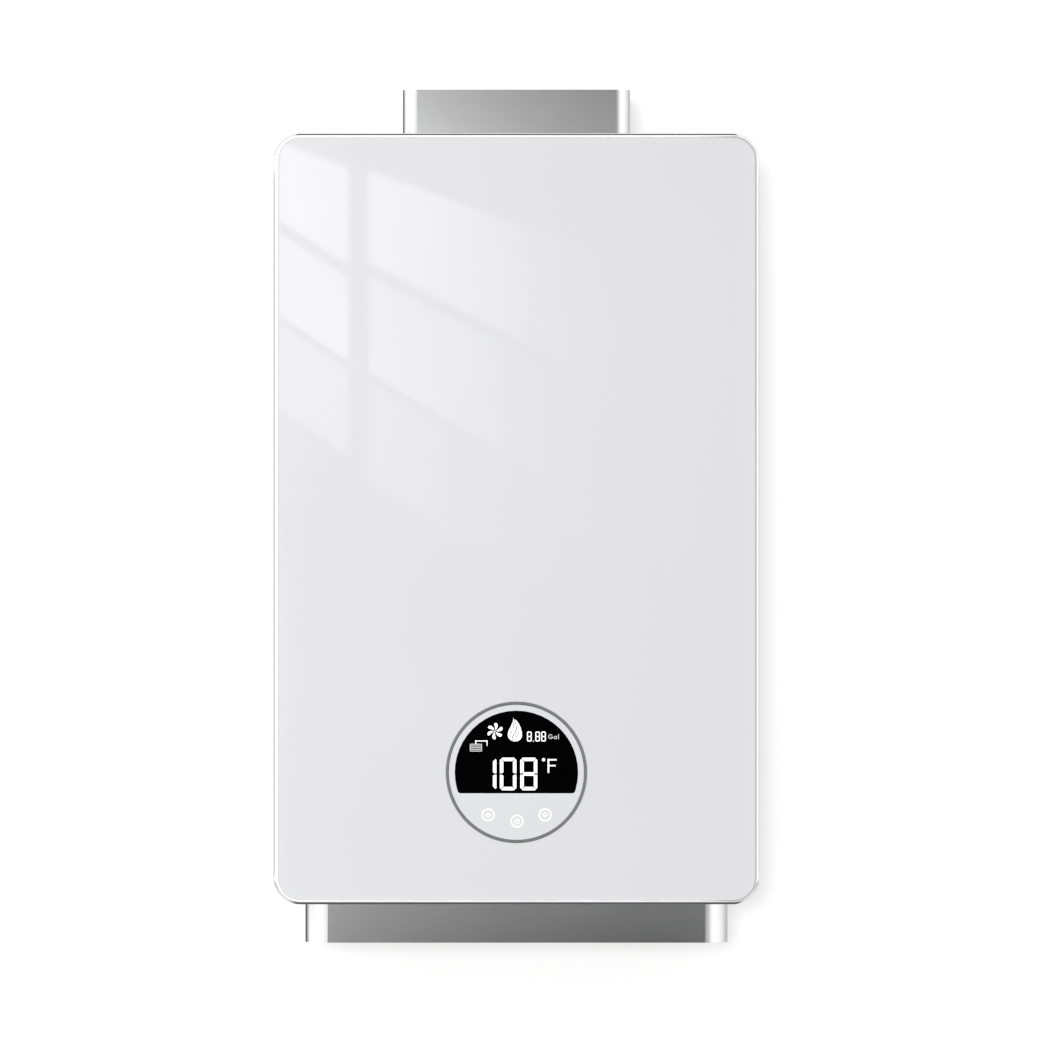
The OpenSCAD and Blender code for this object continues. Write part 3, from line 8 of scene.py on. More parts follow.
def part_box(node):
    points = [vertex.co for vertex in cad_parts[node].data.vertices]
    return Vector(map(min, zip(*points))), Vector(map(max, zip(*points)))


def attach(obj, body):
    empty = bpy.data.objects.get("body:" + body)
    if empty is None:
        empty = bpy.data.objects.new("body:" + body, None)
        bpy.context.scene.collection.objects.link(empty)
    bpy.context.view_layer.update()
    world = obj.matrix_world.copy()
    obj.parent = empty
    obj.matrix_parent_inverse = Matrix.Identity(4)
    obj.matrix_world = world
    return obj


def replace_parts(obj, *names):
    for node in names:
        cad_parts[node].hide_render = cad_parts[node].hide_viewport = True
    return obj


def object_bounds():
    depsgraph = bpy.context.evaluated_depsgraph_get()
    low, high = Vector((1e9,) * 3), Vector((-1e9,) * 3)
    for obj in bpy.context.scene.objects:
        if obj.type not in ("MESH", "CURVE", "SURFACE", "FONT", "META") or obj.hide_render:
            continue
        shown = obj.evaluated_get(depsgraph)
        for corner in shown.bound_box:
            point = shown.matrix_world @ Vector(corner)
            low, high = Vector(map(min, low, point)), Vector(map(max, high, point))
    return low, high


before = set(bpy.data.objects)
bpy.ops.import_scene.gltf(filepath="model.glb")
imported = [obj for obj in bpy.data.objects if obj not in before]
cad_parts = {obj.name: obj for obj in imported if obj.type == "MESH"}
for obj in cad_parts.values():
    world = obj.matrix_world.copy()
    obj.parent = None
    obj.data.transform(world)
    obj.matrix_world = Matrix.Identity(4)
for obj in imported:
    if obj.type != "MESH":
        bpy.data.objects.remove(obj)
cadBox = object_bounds()
scene = bpy.context.scene
scene.view_settings.view_transform = "Standard"
mm = 0.001
upright = Matrix.Rotation(math.radians(90), 4, "X")
print("frame:", len(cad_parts), "CAD nodes")


# a CAD node's lowest corner, highest corner and middle, in millimetres
def nodeBox(name):
    low, high = (Vector(corner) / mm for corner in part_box(name))
    return low, high, (low + high) / 2


# camera: straight at the glass from far away, so the front shows hardly any perspective
shot = {"distance": 6.0, "frameWidth": 0.735, "x": 0.0060, "z": -0.20435, "sensor": 36.0, "clip": (0.1, 60)}

lensData = bpy.data.cameras.new("photoCamera")
lensData.sensor_width = shot["sensor"]
lensData.lens = shot["sensor"] * shot["distance"] / shot["frameWidth"]
lensData.clip_start, lensData.clip_end = shot["clip"]
photoCamera = bpy.data.objects.new("photoCamera", lensData)
photoCamera.location = (shot["x"], cadBox[0][1] - shot["distance"], shot["z"])
photoCamera.rotation_euler = (math.radians(90), 0, 0)
scene.collection.objects.link(photoCamera)
scene.camera = photoCamera
print("camera set")


# short ways to write node trees
def addNode(tree, kind, **settings):
    node = tree.nodes.new(kind)
    for name, value in settings.items():
        setattr(node, name, value)
    return node


def feed(tree, socket, value):
    if isinstance(value, bpy.types.NodeSocket):
        tree.links.new(value, socket)
    else:
        socket.default_value = value


def calc(tree, operation, *values, clamp=False):
    node = addNode(tree, "ShaderNodeMath", operation=operation, use_clamp=clamp)
    for socket, value in zip(node.inputs, values):
        feed(tree, socket, value)
    return node.outputs[0]


def remap(tree, value, low, high, toLow=0.0, toHigh=1.0, kind="SMOOTHSTEP"):
    node = addNode(tree, "ShaderNodeMapRange", interpolation_type=kind)
    for name, given in (("Value", value), ("From Min", low), ("From Max", high),
                        ("To Min", toLow), ("To Max", toHigh)):
        feed(tree, node.inputs[name], given)
    return node.outputs["Result"]


def lerp(tree, factor, first, second):
    node = addNode(tree, "ShaderNodeMix", data_type="FLOAT")
    for place, value in ((0, factor), (2, first), (3, second)):
        feed(tree, node.inputs[place], value)
    return node.outputs[0]


def mixColour(tree, factor, first, second):
    node = addNode(tree, "ShaderNodeMix", data_type="RGBA")
    for place, value in ((0, factor), (6, first), (7, second)):
        feed(tree, node.inputs[place], value)
    return node.outputs[2]


# bright rim round the glass, in millimetres
rim = {"wide": 3.0, "corner": 15.5}

# the room: what the pieces reflect and what fills the shadows
room = {
    "above": 0.73, "below": 0.40,      # soft light from the ceiling and the floor
    "cardLow": 0.185, "cardHigh": 0.44, "fall": 4.6, "brightest": 1.1,   # brighter to the left and above
    "leftStrip": 0.75, "rightStrip": 0.42,
    "lineBright": 1.8, "lineRight": 0.8,        # light frame that the rim mirrors
    "cardLeft": 1.5, "leftMiddle": 0.62, "leftEdge": 0.1, "cardRight": 1.4, "rightMiddle": 0.95,
    "behindLeft": 0.5, "behindRight": 0.62,
    "ceiling": 0.95, "edgeBright": 1.1, "edgeDark": 0.02,
    "floorNear": 0.55, "floorFar": 0.9,
    "floorLine": 0.95, "floorDim": 0.03, "floorMid": 0.10, "floorBack": 0.35,
    "paneSoft": 0.0012, "leastAhead": 0.05,
}
# where its zones begin and end: on the plane of the front in metres, by a part of the ray, or in degrees
zones = {
    "card": (-0.45, 0.07), "stripLeft": (-0.152, -0.164), "stripRight": (0.152, 0.164),
    "lineIn": (-0.0015, -0.0005), "lineOut": (0.003, 0.002), "lineFade": (0.12, 0.16),
    "above": (0.17, 0.19), "below": (-0.6, -0.62), "centred": (0.12, 0.2), "ends": (0.0395, 0.0435),
    "leftNear": (-2.0, -34.0), "leftFar": (-178.0, -170.0),
    "leftAbreast": (-74.0, -62.0), "leftEdge": (-150.0, -95.0),
    "rightNear": (2.0, 41.0), "rightFar": (150.0, 68.0), "rightAbreast": (62.0, 74.0),
    "behind": (-0.15, 0.25), "behindSides": (-0.1, 0.1),
    "ceiling": (0.12, 0.22), "ceilingBack": (0.0, 0.1),
    "edgeNear": (-0.80, -0.70), "edgeFar": (0.12, 0.02), "edgeHigh": (0.45, 0.55),
    "floor": (-0.10, -0.2), "floorDepth": (-0.1, -0.7), "floorWide": (0.12, 0.45),
    "floorLine": (-0.93, -0.85), "floorMid": (-0.70, -0.50), "floorBack": (0.45, 0.7),
    "fill": (-0.8, 0.8),
}
# window panes seen in the glass, on the plane of the front: left, right, upper edge, lower edge, level
# an edge is its height at the pane's left and its slope; the last two figures fade the pane to the right
windowPanes = [
    (-0.175, -0.1176, (0.068, -0.40), (0.0148, -0.65), 2.9, -0.1, 0.9),
    (-0.175, -0.1176, (0.0060, -0.65), (-0.0512, -0.67), 2.55, -0.1, 0.9),
    (-0.175, -0.1176, (-0.0570, -0.67), (-0.1169, -0.67), 1.3, -0.1, 0.9),
    (-0.1036, 0.16, (0.0441, -0.36), (-0.0210, -0.51), 2.6, -0.12, 0.075),
    (-0.1036, 0.13, (-0.0294, -0.51), (-0.0973, -0.60), 1.7, -0.12, 0.06),
    (-0.1036, 0.10, (-0.1043, -0.60), (-0.175, -0.60), 0.8, -0.12, 0.03),
]


# how far a place on the plane of the front lies outside the glass, which has round corners
def beyondGlass(tree, planeX, planeZ):
    low, high, middle = nodeBox("cover_frame")
    corner = rim["corner"] * mm
    reach = []
    for place, axis in ((planeX, 0), (planeZ, 2)):
        half = ((high[axis] - low[axis]) / 2 - rim["wide"]) * mm
        away = calc(tree, "ABSOLUTE", calc(tree, "SUBTRACT", place, middle[axis] * mm))
        reach.append(calc(tree, "SUBTRACT", away, half - corner))
    squares = [calc(tree, "POWER", calc(tree, "MAXIMUM", r, 0.0), 2.0) for r in reach]
    bent = calc(tree, "SQRT", calc(tree, "ADD", *squares))
    straight = calc(tree, "MINIMUM", calc(tree, "MAXIMUM", *reach), 0.0)
    return calc(tree, "SUBTRACT", calc(tree, "ADD", bent, straight), corner)


def buildRoom():
    world = bpy.data.worlds.new("studioRoom")
    world.use_nodes = True
    scene.world = world
    tree = world.node_tree
    tree.nodes.clear()

    def zone(value, name, *levels):
        return remap(tree, value, *zones[name], *levels)

    ray = addNode(tree, "ShaderNodeTexCoord").outputs["Generated"]
    split = addNode(tree, "ShaderNodeSeparateXYZ")
    feed(tree, split.inputs[0], ray)
    rayX, rayY, rayZ = split.outputs
    forward = calc(tree, "MULTIPLY", rayY, -1.0)
    ahead = calc(tree, "MAXIMUM", forward, room["leastAhead"])
    planeX = calc(tree, "MULTIPLY_ADD", calc(tree, "DIVIDE", rayX, ahead), shot["distance"], shot["x"])
    planeZ = calc(tree, "MULTIPLY_ADD", calc(tree, "DIVIDE", rayZ, ahead), shot["distance"], shot["z"])
    turn = calc(tree, "DEGREES", calc(tree, "ARCTAN2", rayX, forward))
    aside = calc(tree, "ABSOLUTE", rayX)

    # straight ahead: a wide grey card, brighter to the left and above, with the window's panes
    card = zone(planeZ, "card", room["cardLow"], room["cardHigh"])
    slope = calc(tree, "EXPONENT", calc(tree, "MULTIPLY", planeX, -room["fall"]))
    level = calc(tree, "MINIMUM", calc(tree, "MULTIPLY", slope, card), room["brightest"])
    soft = room["paneSoft"]
    for left, right, top, bottom, bright, fadeFrom, fadeTo in windowPanes:
        across = calc(tree, "SUBTRACT", planeX, left)
        upper = calc(tree, "MULTIPLY_ADD", across, top[1], top[0])
        lower = calc(tree, "MULTIPLY_ADD", across, bottom[1], bottom[0])
        pane = remap(tree, across, -soft, soft)
        pane = calc(tree, "MULTIPLY", pane, remap(tree, planeX, right - soft, right + soft, 1.0, 0.0))
        pane = calc(tree, "MULTIPLY", pane, remap(tree, calc(tree, "SUBTRACT", upper, planeZ), -soft, soft))
        pane = calc(tree, "MULTIPLY", pane, remap(tree, calc(tree, "SUBTRACT", planeZ, lower), -soft, soft))
        level = calc(tree, "MULTIPLY_ADD", pane, remap(tree, planeX, fadeFrom, fadeTo, bright, 0.0), level)

    # the light frame round the glass, and light above and below it
    level = calc(tree, "MAXIMUM", level, zone(planeX, "stripLeft", 0.0, room["leftStrip"]))
    level = lerp(tree, zone(planeX, "stripRight"), level, room["rightStrip"])
    outside = beyondGlass(tree, planeX, planeZ)
    line = calc(tree, "MULTIPLY", zone(outside, "lineIn"), zone(outside, "lineOut"))
    level = lerp(tree, line, level, zone(planeX, "lineFade", room["lineBright"], room["lineRight"]))
    centred = zone(aside, "centred", 1.0, 0.0)
    level = lerp(tree, calc(tree, "MULTIPLY", centred, zone(planeZ, "above")), level, room["edgeBright"])
    level = lerp(tree, calc(tree, "MULTIPLY", centred, zone(planeZ, "below")), level, room["floorLine"])

    # the wall behind, and soft boxes on both sides, dimmer abreast of the case's middle
    behind = lerp(tree, zone(rayX, "behindSides"), room["behindLeft"], room["behindRight"])
    level = lerp(tree, zone(rayY, "behind"), level, behind)
    ends = zone(calc(tree, "ABSOLUTE", rayZ), "ends")
    leftLevel = lerp(tree, ends, room["leftMiddle"], room["cardLeft"])
    leftLevel = lerp(tree, zone(turn, "leftAbreast"), leftLevel, room["cardLeft"])
    leftLevel = lerp(tree, zone(turn, "leftEdge"), room["leftEdge"], leftLevel)
    leftCard = calc(tree, "MULTIPLY", zone(turn, "leftNear"), zone(turn, "leftFar"))
    level = lerp(tree, leftCard, level, leftLevel)
    rightLevel = lerp(tree, ends, room["rightMiddle"], room["cardRight"])
    rightLevel = lerp(tree, zone(turn, "rightAbreast"), room["cardRight"], rightLevel)
    rightCard = calc(tree, "MULTIPLY", zone(turn, "rightNear"), zone(turn, "rightFar"))
    level = lerp(tree, rightCard, level, rightLevel)

    # ceiling and floor, each with a dark strip ahead, for the lines along the rim's upper and lower edges
    over = lerp(tree, zone(rayY, "ceilingBack"), room["edgeBright"], room["ceiling"])
    edge = calc(tree, "MULTIPLY", zone(rayY, "edgeNear"), zone(rayY, "edgeFar"))
    edge = calc(tree, "MULTIPLY", edge, zone(rayZ, "edgeHigh"))
    over = lerp(tree, centred, room["ceiling"], lerp(tree, edge, over, room["edgeDark"]))
    under = zone(rayZ, "floorDepth", room["floorNear"], room["floorFar"])
    dim = zone(rayY, "floorLine", room["floorLine"], room["floorDim"])
    dim = lerp(tree, zone(rayY, "floorMid"), dim, room["floorMid"])
    dim = lerp(tree, zone(rayY, "floorBack"), dim, room["floorBack"])
    under = lerp(tree, zone(aside, "floorWide", 1.0, 0.0), under, dim)
    level = lerp(tree, zone(rayZ, "ceiling"), level, over)
    level = lerp(tree, zone(rayZ, "floor"), level, under)

    # mirrors see the room, matt surfaces a soft fill, the camera plain white
    fill = zone(rayZ, "fill", room["below"], room["above"], "LINEAR")
    path = addNode(tree, "ShaderNodeLightPath").outputs
    strength = lerp(tree, path["Is Glossy Ray"], fill, level)
    clear = calc(tree, "MAXIMUM", path["Is Camera Ray"], path["Is Transmission Ray"])
    strength = lerp(tree, clear, strength, 1.0)
    background = addNode(tree, "ShaderNodeBackground")
    background.inputs["Color"].default_value = (1, 1, 1, 1)
    feed(tree, background.inputs["Strength"], strength)
    feed(tree, addNode(tree, "ShaderNodeOutputWorld").inputs[0], background.outputs[0])


buildRoom()


# lights that no piece mirrors
sunlight = {"strength": 1.10, "direction": (0.075, 1, -0.072), "spread": 9.0}
leftLamp = {"power": 3.5, "size": 0.9, "place": (-1.0, -1.0, -0.15), "target": (0, -0.14, -0.2)}


def addLight(name, data, direction, place=(0, 0, 0)):
    light = bpy.data.objects.new(name, data)
    light.location = place
    light.rotation_mode = "QUATERNION"
    light.rotation_quaternion = Vector(direction).to_track_quat("-Z", "Y")
    light.visible_glossy = False
    scene.collection.objects.link(light)


sunData = bpy.data.lights.new("windowLight", "SUN")
sunData.energy, sunData.angle = sunlight["strength"], math.radians(sunlight["spread"])
addLight("windowLight", sunData, sunlight["direction"])
lampData = bpy.data.lights.new("leftLamp", "AREA")
lampData.energy, lampData.size = leftLamp["power"], leftLamp["size"]
addLight("leftLamp", lampData, Vector(leftLamp["target"]) - Vector(leftLamp["place"]), leftLamp["place"])


# wall and floor, white to the camera and seen from their own side only
stageSet = {"glow": 0.44, "paint": 0.71, "half": 9.0, "wallY": 0.0012, "floorZ": -1.3}


def stageMaterial():
    material = bpy.data.materials.new("stageWhite")
    material.use_nodes = True
    tree = material.node_tree
    tree.nodes.clear()
    paint = addNode(tree, "ShaderNodeBsdfDiffuse")
    paint.inputs["Color"].default_value = (stageSet["paint"],) * 3 + (1,)
    glow = addNode(tree, "ShaderNodeEmission")
    glow.inputs["Strength"].default_value = stageSet["glow"]
    both = addNode(tree, "ShaderNodeAddShader")
    feed(tree, both.inputs[0], paint.outputs[0])
    feed(tree, both.inputs[1], glow.outputs[0])
    mix = addNode(tree, "ShaderNodeMixShader")
    feed(tree, mix.inputs[0], addNode(tree, "ShaderNodeNewGeometry").outputs["Backfacing"])
    feed(tree, mix.inputs[1], both.outputs[0])
    feed(tree, mix.inputs[2], addNode(tree, "ShaderNodeBsdfTransparent").outputs[0])
    feed(tree, addNode(tree, "ShaderNodeOutputMaterial").inputs[0], mix.outputs[0])
    return material


def stagePlane(name, matrix, material):
    bm = bmesh.new()
    bmesh.ops.create_grid(bm, x_segments=1, y_segments=1, size=stageSet["half"], matrix=matrix)
    mesh = bpy.data.meshes.new(name)
    bm.to_mesh(mesh)
    bm.free()
    mesh.materials.append(material)
    plane = bpy.data.objects.new(name, mesh)
    plane.visible_diffuse = plane.visible_glossy = False
    plane.visible_transmission = plane.visible_shadow = False
    scene.collection.objects.link(plane)


stageWhite = stageMaterial()
stagePlane("wallBehind", Matrix.Translation((0, stageSet["wallY"], 0)) @ upright, stageWhite)
stagePlane("floorBelow", Matrix.Translation((0, 0, stageSet["floorZ"])), stageWhite)
print("room, light and stage set")


# shared surface effects: each gives a colour, a roughness and a height
def newGroup(name, inputs):
    tree = bpy.data.node_groups.new(name, "ShaderNodeTree")
    for label, kind, value in inputs:
        socket = tree.interface.new_socket(label, in_out="INPUT", socket_type="NodeSocket" + kind)
        socket.default_value = value
    for label, kind in (("Color", "Color"), ("Roughness", "Float"), ("Height", "Float")):
        tree.interface.new_socket(label, in_out="OUTPUT", socket_type="NodeSocket" + kind)
    return tree, addNode(tree, "NodeGroupInput").outputs


def closeGroup(tree, colour, rough, height):
    result = addNode(tree, "NodeGroupOutput").inputs
    for label, value in (("Color", colour), ("Roughness", rough), ("Height", height)):
        feed(tree, result[label], value)
    return tree


def spreadRough(tree, given, wander):
    return calc(tree, "MULTIPLY_ADD", wander, given["Spread"], given["Roughness"], clamp=True)


def inMillimetres(tree, turn=(0, 0, 0)):
    mapping = addNode(tree, "ShaderNodeMapping")
    feed(tree, mapping.inputs["Vector"], addNode(tree, "ShaderNodeTexCoord").outputs["Object"])
    mapping.inputs["Scale"].default_value = (1000, 1000, 1000)
    mapping.inputs["Rotation"].default_value = turn
    return mapping.outputs[0]


def noise(tree, place, scale, detail=3.0, rough=0.55):
    node = addNode(tree, "ShaderNodeTexNoise")
    for label, value in (("Vector", place), ("Scale", scale), ("Detail", detail), ("Roughness", rough)):
        feed(tree, node.inputs[label], value)
    return node.outputs["Fac"]


def cellPattern(tree, place, scale, random=1.0):
    node = addNode(tree, "ShaderNodeTexVoronoi", feature="F1")
    for label, value in (("Vector", place), ("Scale", scale), ("Randomness", random)):
        feed(tree, node.inputs[label], value)
    return node.outputs


# fine grain over broad soft mottling: paint, mouldings, castings, rubber
def buildGrain():
    tree, given = newGroup("fineGrain", [
        ("Base", "Color", (0.5, 0.5, 0.5, 1)), ("Tint", "Color", (0.45, 0.45, 0.45, 1)),
        ("Grain Scale", "Float", 2.0), ("Mottle Scale", "Float", 0.03), ("Mottle", "Float", 0.5),
        ("Roughness", "Float", 0.4), ("Spread", "Float", 0.1),
    ])
    place = inMillimetres(tree)
    grain = noise(tree, place, given["Grain Scale"])
    mottle = remap(tree, noise(tree, place, given["Mottle Scale"], 4.0), 0.35, 0.65)
    share = calc(tree, "MULTIPLY", mottle, given["Mottle"])
    share = calc(tree, "MULTIPLY_ADD", calc(tree, "SUBTRACT", grain, 0.5), 0.35, share, clamp=True)
    wander = calc(tree, "ADD", calc(tree, "SUBTRACT", grain, 0.5), calc(tree, "SUBTRACT", mottle, 0.5))
    colour = mixColour(tree, share, given["Base"], given["Tint"])
    return closeGroup(tree, colour, spreadRough(tree, given, wander), grain)


# drawn lines of rolled or brushed metal; Stretch is small along the lines
def buildBrush():
    tree, given = newGroup("drawnLines", [
        ("Base", "Color", (0.6, 0.6, 0.6, 1)), ("Tint", "Color", (0.5, 0.5, 0.5, 1)),
        ("Stretch", "Vector", (0.02, 1.0, 1.0)), ("Line Scale", "Float", 3.0),
        ("Roughness", "Float", 0.3), ("Spread", "Float", 0.1),
    ])
    place = inMillimetres(tree)
    drawn = addNode(tree, "ShaderNodeVectorMath", operation="MULTIPLY")
    feed(tree, drawn.inputs[0], place)
    feed(tree, drawn.inputs[1], given["Stretch"])
    lines = noise(tree, drawn.outputs[0], given["Line Scale"], 5.0, 0.65)
    cloud = noise(tree, place, 0.02)
    share = calc(tree, "MULTIPLY_ADD", cloud, 0.5, calc(tree, "MULTIPLY", lines, 0.5), clamp=True)
    colour = mixColour(tree, share, given["Base"], given["Tint"])
    return closeGroup(tree, colour, spreadRough(tree, given, calc(tree, "SUBTRACT", share, 0.5)), lines)


# crystal flowers of zinc coating
def buildSpangle():
    tree, given = newGroup("zincSpangle", [
        ("Base", "Color", (0.62, 0.63, 0.65, 1)), ("Tint", "Color", (0.5, 0.51, 0.53, 1)),
        ("Cell", "Float", 0.16), ("Warp Scale", "Float", 0.35), ("Warp", "Vector", (3.0, 3.0, 3.0)),
        ("Roughness", "Float", 0.36), ("Spread", "Float", 0.14),
    ])
    place = inMillimetres(tree)
    warp = addNode(tree, "ShaderNodeTexNoise")
    feed(tree, warp.inputs["Vector"], place)
    feed(tree, warp.inputs["Scale"], given["Warp Scale"])
    bent = addNode(tree, "ShaderNodeVectorMath", operation="MULTIPLY_ADD")
    for socket, value in zip(bent.inputs, (warp.outputs["Color"], given["Warp"], place)):
        feed(tree, socket, value)
    shade = addNode(tree, "ShaderNodeSeparateColor")
    feed(tree, shade.inputs[0], cellPattern(tree, bent.outputs[0], given["Cell"])["Color"])
    fine = noise(tree, place, 1.6)
    share = calc(tree, "MULTIPLY_ADD", fine, 0.3, calc(tree, "MULTIPLY", shade.outputs[0], 0.7), clamp=True)
    wander = calc(tree, "SUBTRACT", shade.outputs[1], 0.5)
    colour = mixColour(tree, share, given["Base"], given["Tint"])
    return closeGroup(tree, colour, spreadRough(tree, given, wander), fine)


# browning of copper: clouds of oxide, stronger where the metal runs hot
def buildPatina():
    tree, given = newGroup("copperPatina", [
        ("Base", "Color", (0.8, 0.42, 0.27, 1)), ("Oxide", "Color", (0.36, 0.17, 0.1, 1)),
        ("Heat Height", "Float", -0.22), ("Heat Reach", "Float", 0.08),
        ("Roughness", "Float", 0.28), ("Spread", "Float", 0.2),
    ])
    place = inMillimetres(tree)
    cloud = remap(tree, noise(tree, place, 0.035, 6.0, 0.6), 0.38, 0.72)
    spots = remap(tree, noise(tree, place, 0.4), 0.58, 0.75)
    height = addNode(tree, "ShaderNodeSeparateXYZ")
    feed(tree, height.inputs[0], addNode(tree, "ShaderNodeTexCoord").outputs["Object"])
    away = calc(tree, "ABSOLUTE", calc(tree, "SUBTRACT", height.outputs[2], given["Heat Height"]))
    heat = remap(tree, calc(tree, "DIVIDE", away, given["Heat Reach"]), 0.0, 1.0, 1.0, 0.0)
    share = calc(tree, "MULTIPLY", cloud, calc(tree, "MULTIPLY_ADD", heat, 0.55, 0.3))
    share = calc(tree, "MULTIPLY_ADD", spots, 0.16, share, clamp=True)
    colour = mixColour(tree, share, given["Base"], given["Oxide"])
    return closeGroup(tree, colour, spreadRough(tree, given, share), spots)


# closed cells of foam
def buildCells():
    tree, given = newGroup("foamCells", [
        ("Base", "Color", (0.16, 0.16, 0.17, 1)), ("Tint", "Color", (0.09, 0.09, 0.1, 1)),
        ("Cell", "Float", 1.4),
    ])
    wall = remap(tree, cellPattern(tree, inMillimetres(tree), given["Cell"])["Distance"], 0.2, 0.7)
    colour = mixColour(tree, wall, given["Tint"], given["Base"])
    return closeGroup(tree, colour, remap(tree, wall, 0.0, 1.0, 0.95, 0.8), wall)


# copper tracks under green solder mask, on boards that stand upright
def buildTracks():
    tree, given = newGroup("boardTracks", [
        ("Mask", "Color", (0.03, 0.17, 0.08, 1)), ("Track", "Color", (0.09, 0.3, 0.14, 1)),
        ("Pad", "Color", (0.7, 0.68, 0.6, 1)),
    ])
    place = inMillimetres(tree, (math.radians(90), 0, 0))
    rows = addNode(tree, "ShaderNodeTexBrick", offset=0.37, squash=1.6, squash_frequency=3)
    for label, value in (("Vector", place), ("Scale", 0.16), ("Mortar Size", 0.06), ("Mortar Smooth", 0.3)):
        feed(tree, rows.inputs[label], value)
    track = rows.outputs["Fac"]
    pad = remap(tree, cellPattern(tree, place, 0.3, 0.5)["Distance"], 0.24, 0.2)
    colour = mixColour(tree, pad, mixColour(tree, track, given["Mask"], given["Track"]), given["Pad"])
    return closeGroup(tree, colour, calc(tree, "MULTIPLY_ADD", pad, -0.15, 0.42), track)


effects = {
    "grain": buildGrain(), "brush": buildBrush(), "spangle": buildSpangle(),
    "patina": buildPatina(), "cells": buildCells(), "tracks": buildTracks(),
}


def surface(name, effect, values, bump=0.0, bumpDepth=0.05, **sockets):
    material = bpy.data.materials.new(name)
    material.use_nodes = True
    tree = material.node_tree
    shader = tree.nodes["Principled BSDF"]
    group = addNode(tree, "ShaderNodeGroup", node_tree=effects[effect])
    for label, value in values.items():
        group.inputs[label].default_value = value
    feed(tree, shader.inputs["Base Color"], group.outputs["Color"])
    feed(tree, shader.inputs["Roughness"], group.outputs["Roughness"])
    if bump:
        relief = addNode(tree, "ShaderNodeBump")
        relief.inputs["Strength"].default_value = bump
        relief.inputs["Distance"].default_value = bumpDepth * mm
        feed(tree, relief.inputs["Height"], group.outputs["Height"])
        feed(tree, shader.inputs["Normal"], relief.outputs[0])
    for label, value in sockets.items():
        shader.inputs[label.replace("_", " ")].default_value = value
    material.diffuse_color = values.get("Base", (0.5, 0.5, 0.5, 1))
    return material


# display light: the surface's own colour glows too
def lightSurface(name, colour, glow):
    material = surface(name, "grain", {
        "Base": colour, "Tint": tuple(0.93 * c for c in colour[:3]) + (1,), "Grain Scale": 1.5,
        "Mottle Scale": 0.2, "Mottle": 0.5, "Roughness": 0.5, "Spread": 0.1})
    shader = material.node_tree.nodes["Principled BSDF"]
    group = next(n for n in material.node_tree.nodes if n.type == "GROUP")
    feed(material.node_tree, shader.inputs["Emission Color"], group.outputs["Color"])
    shader.inputs["Emission Strength"].default_value = glow
    return material


def grey(value, blue=0.0):
    return (value, value, value + blue, 1)


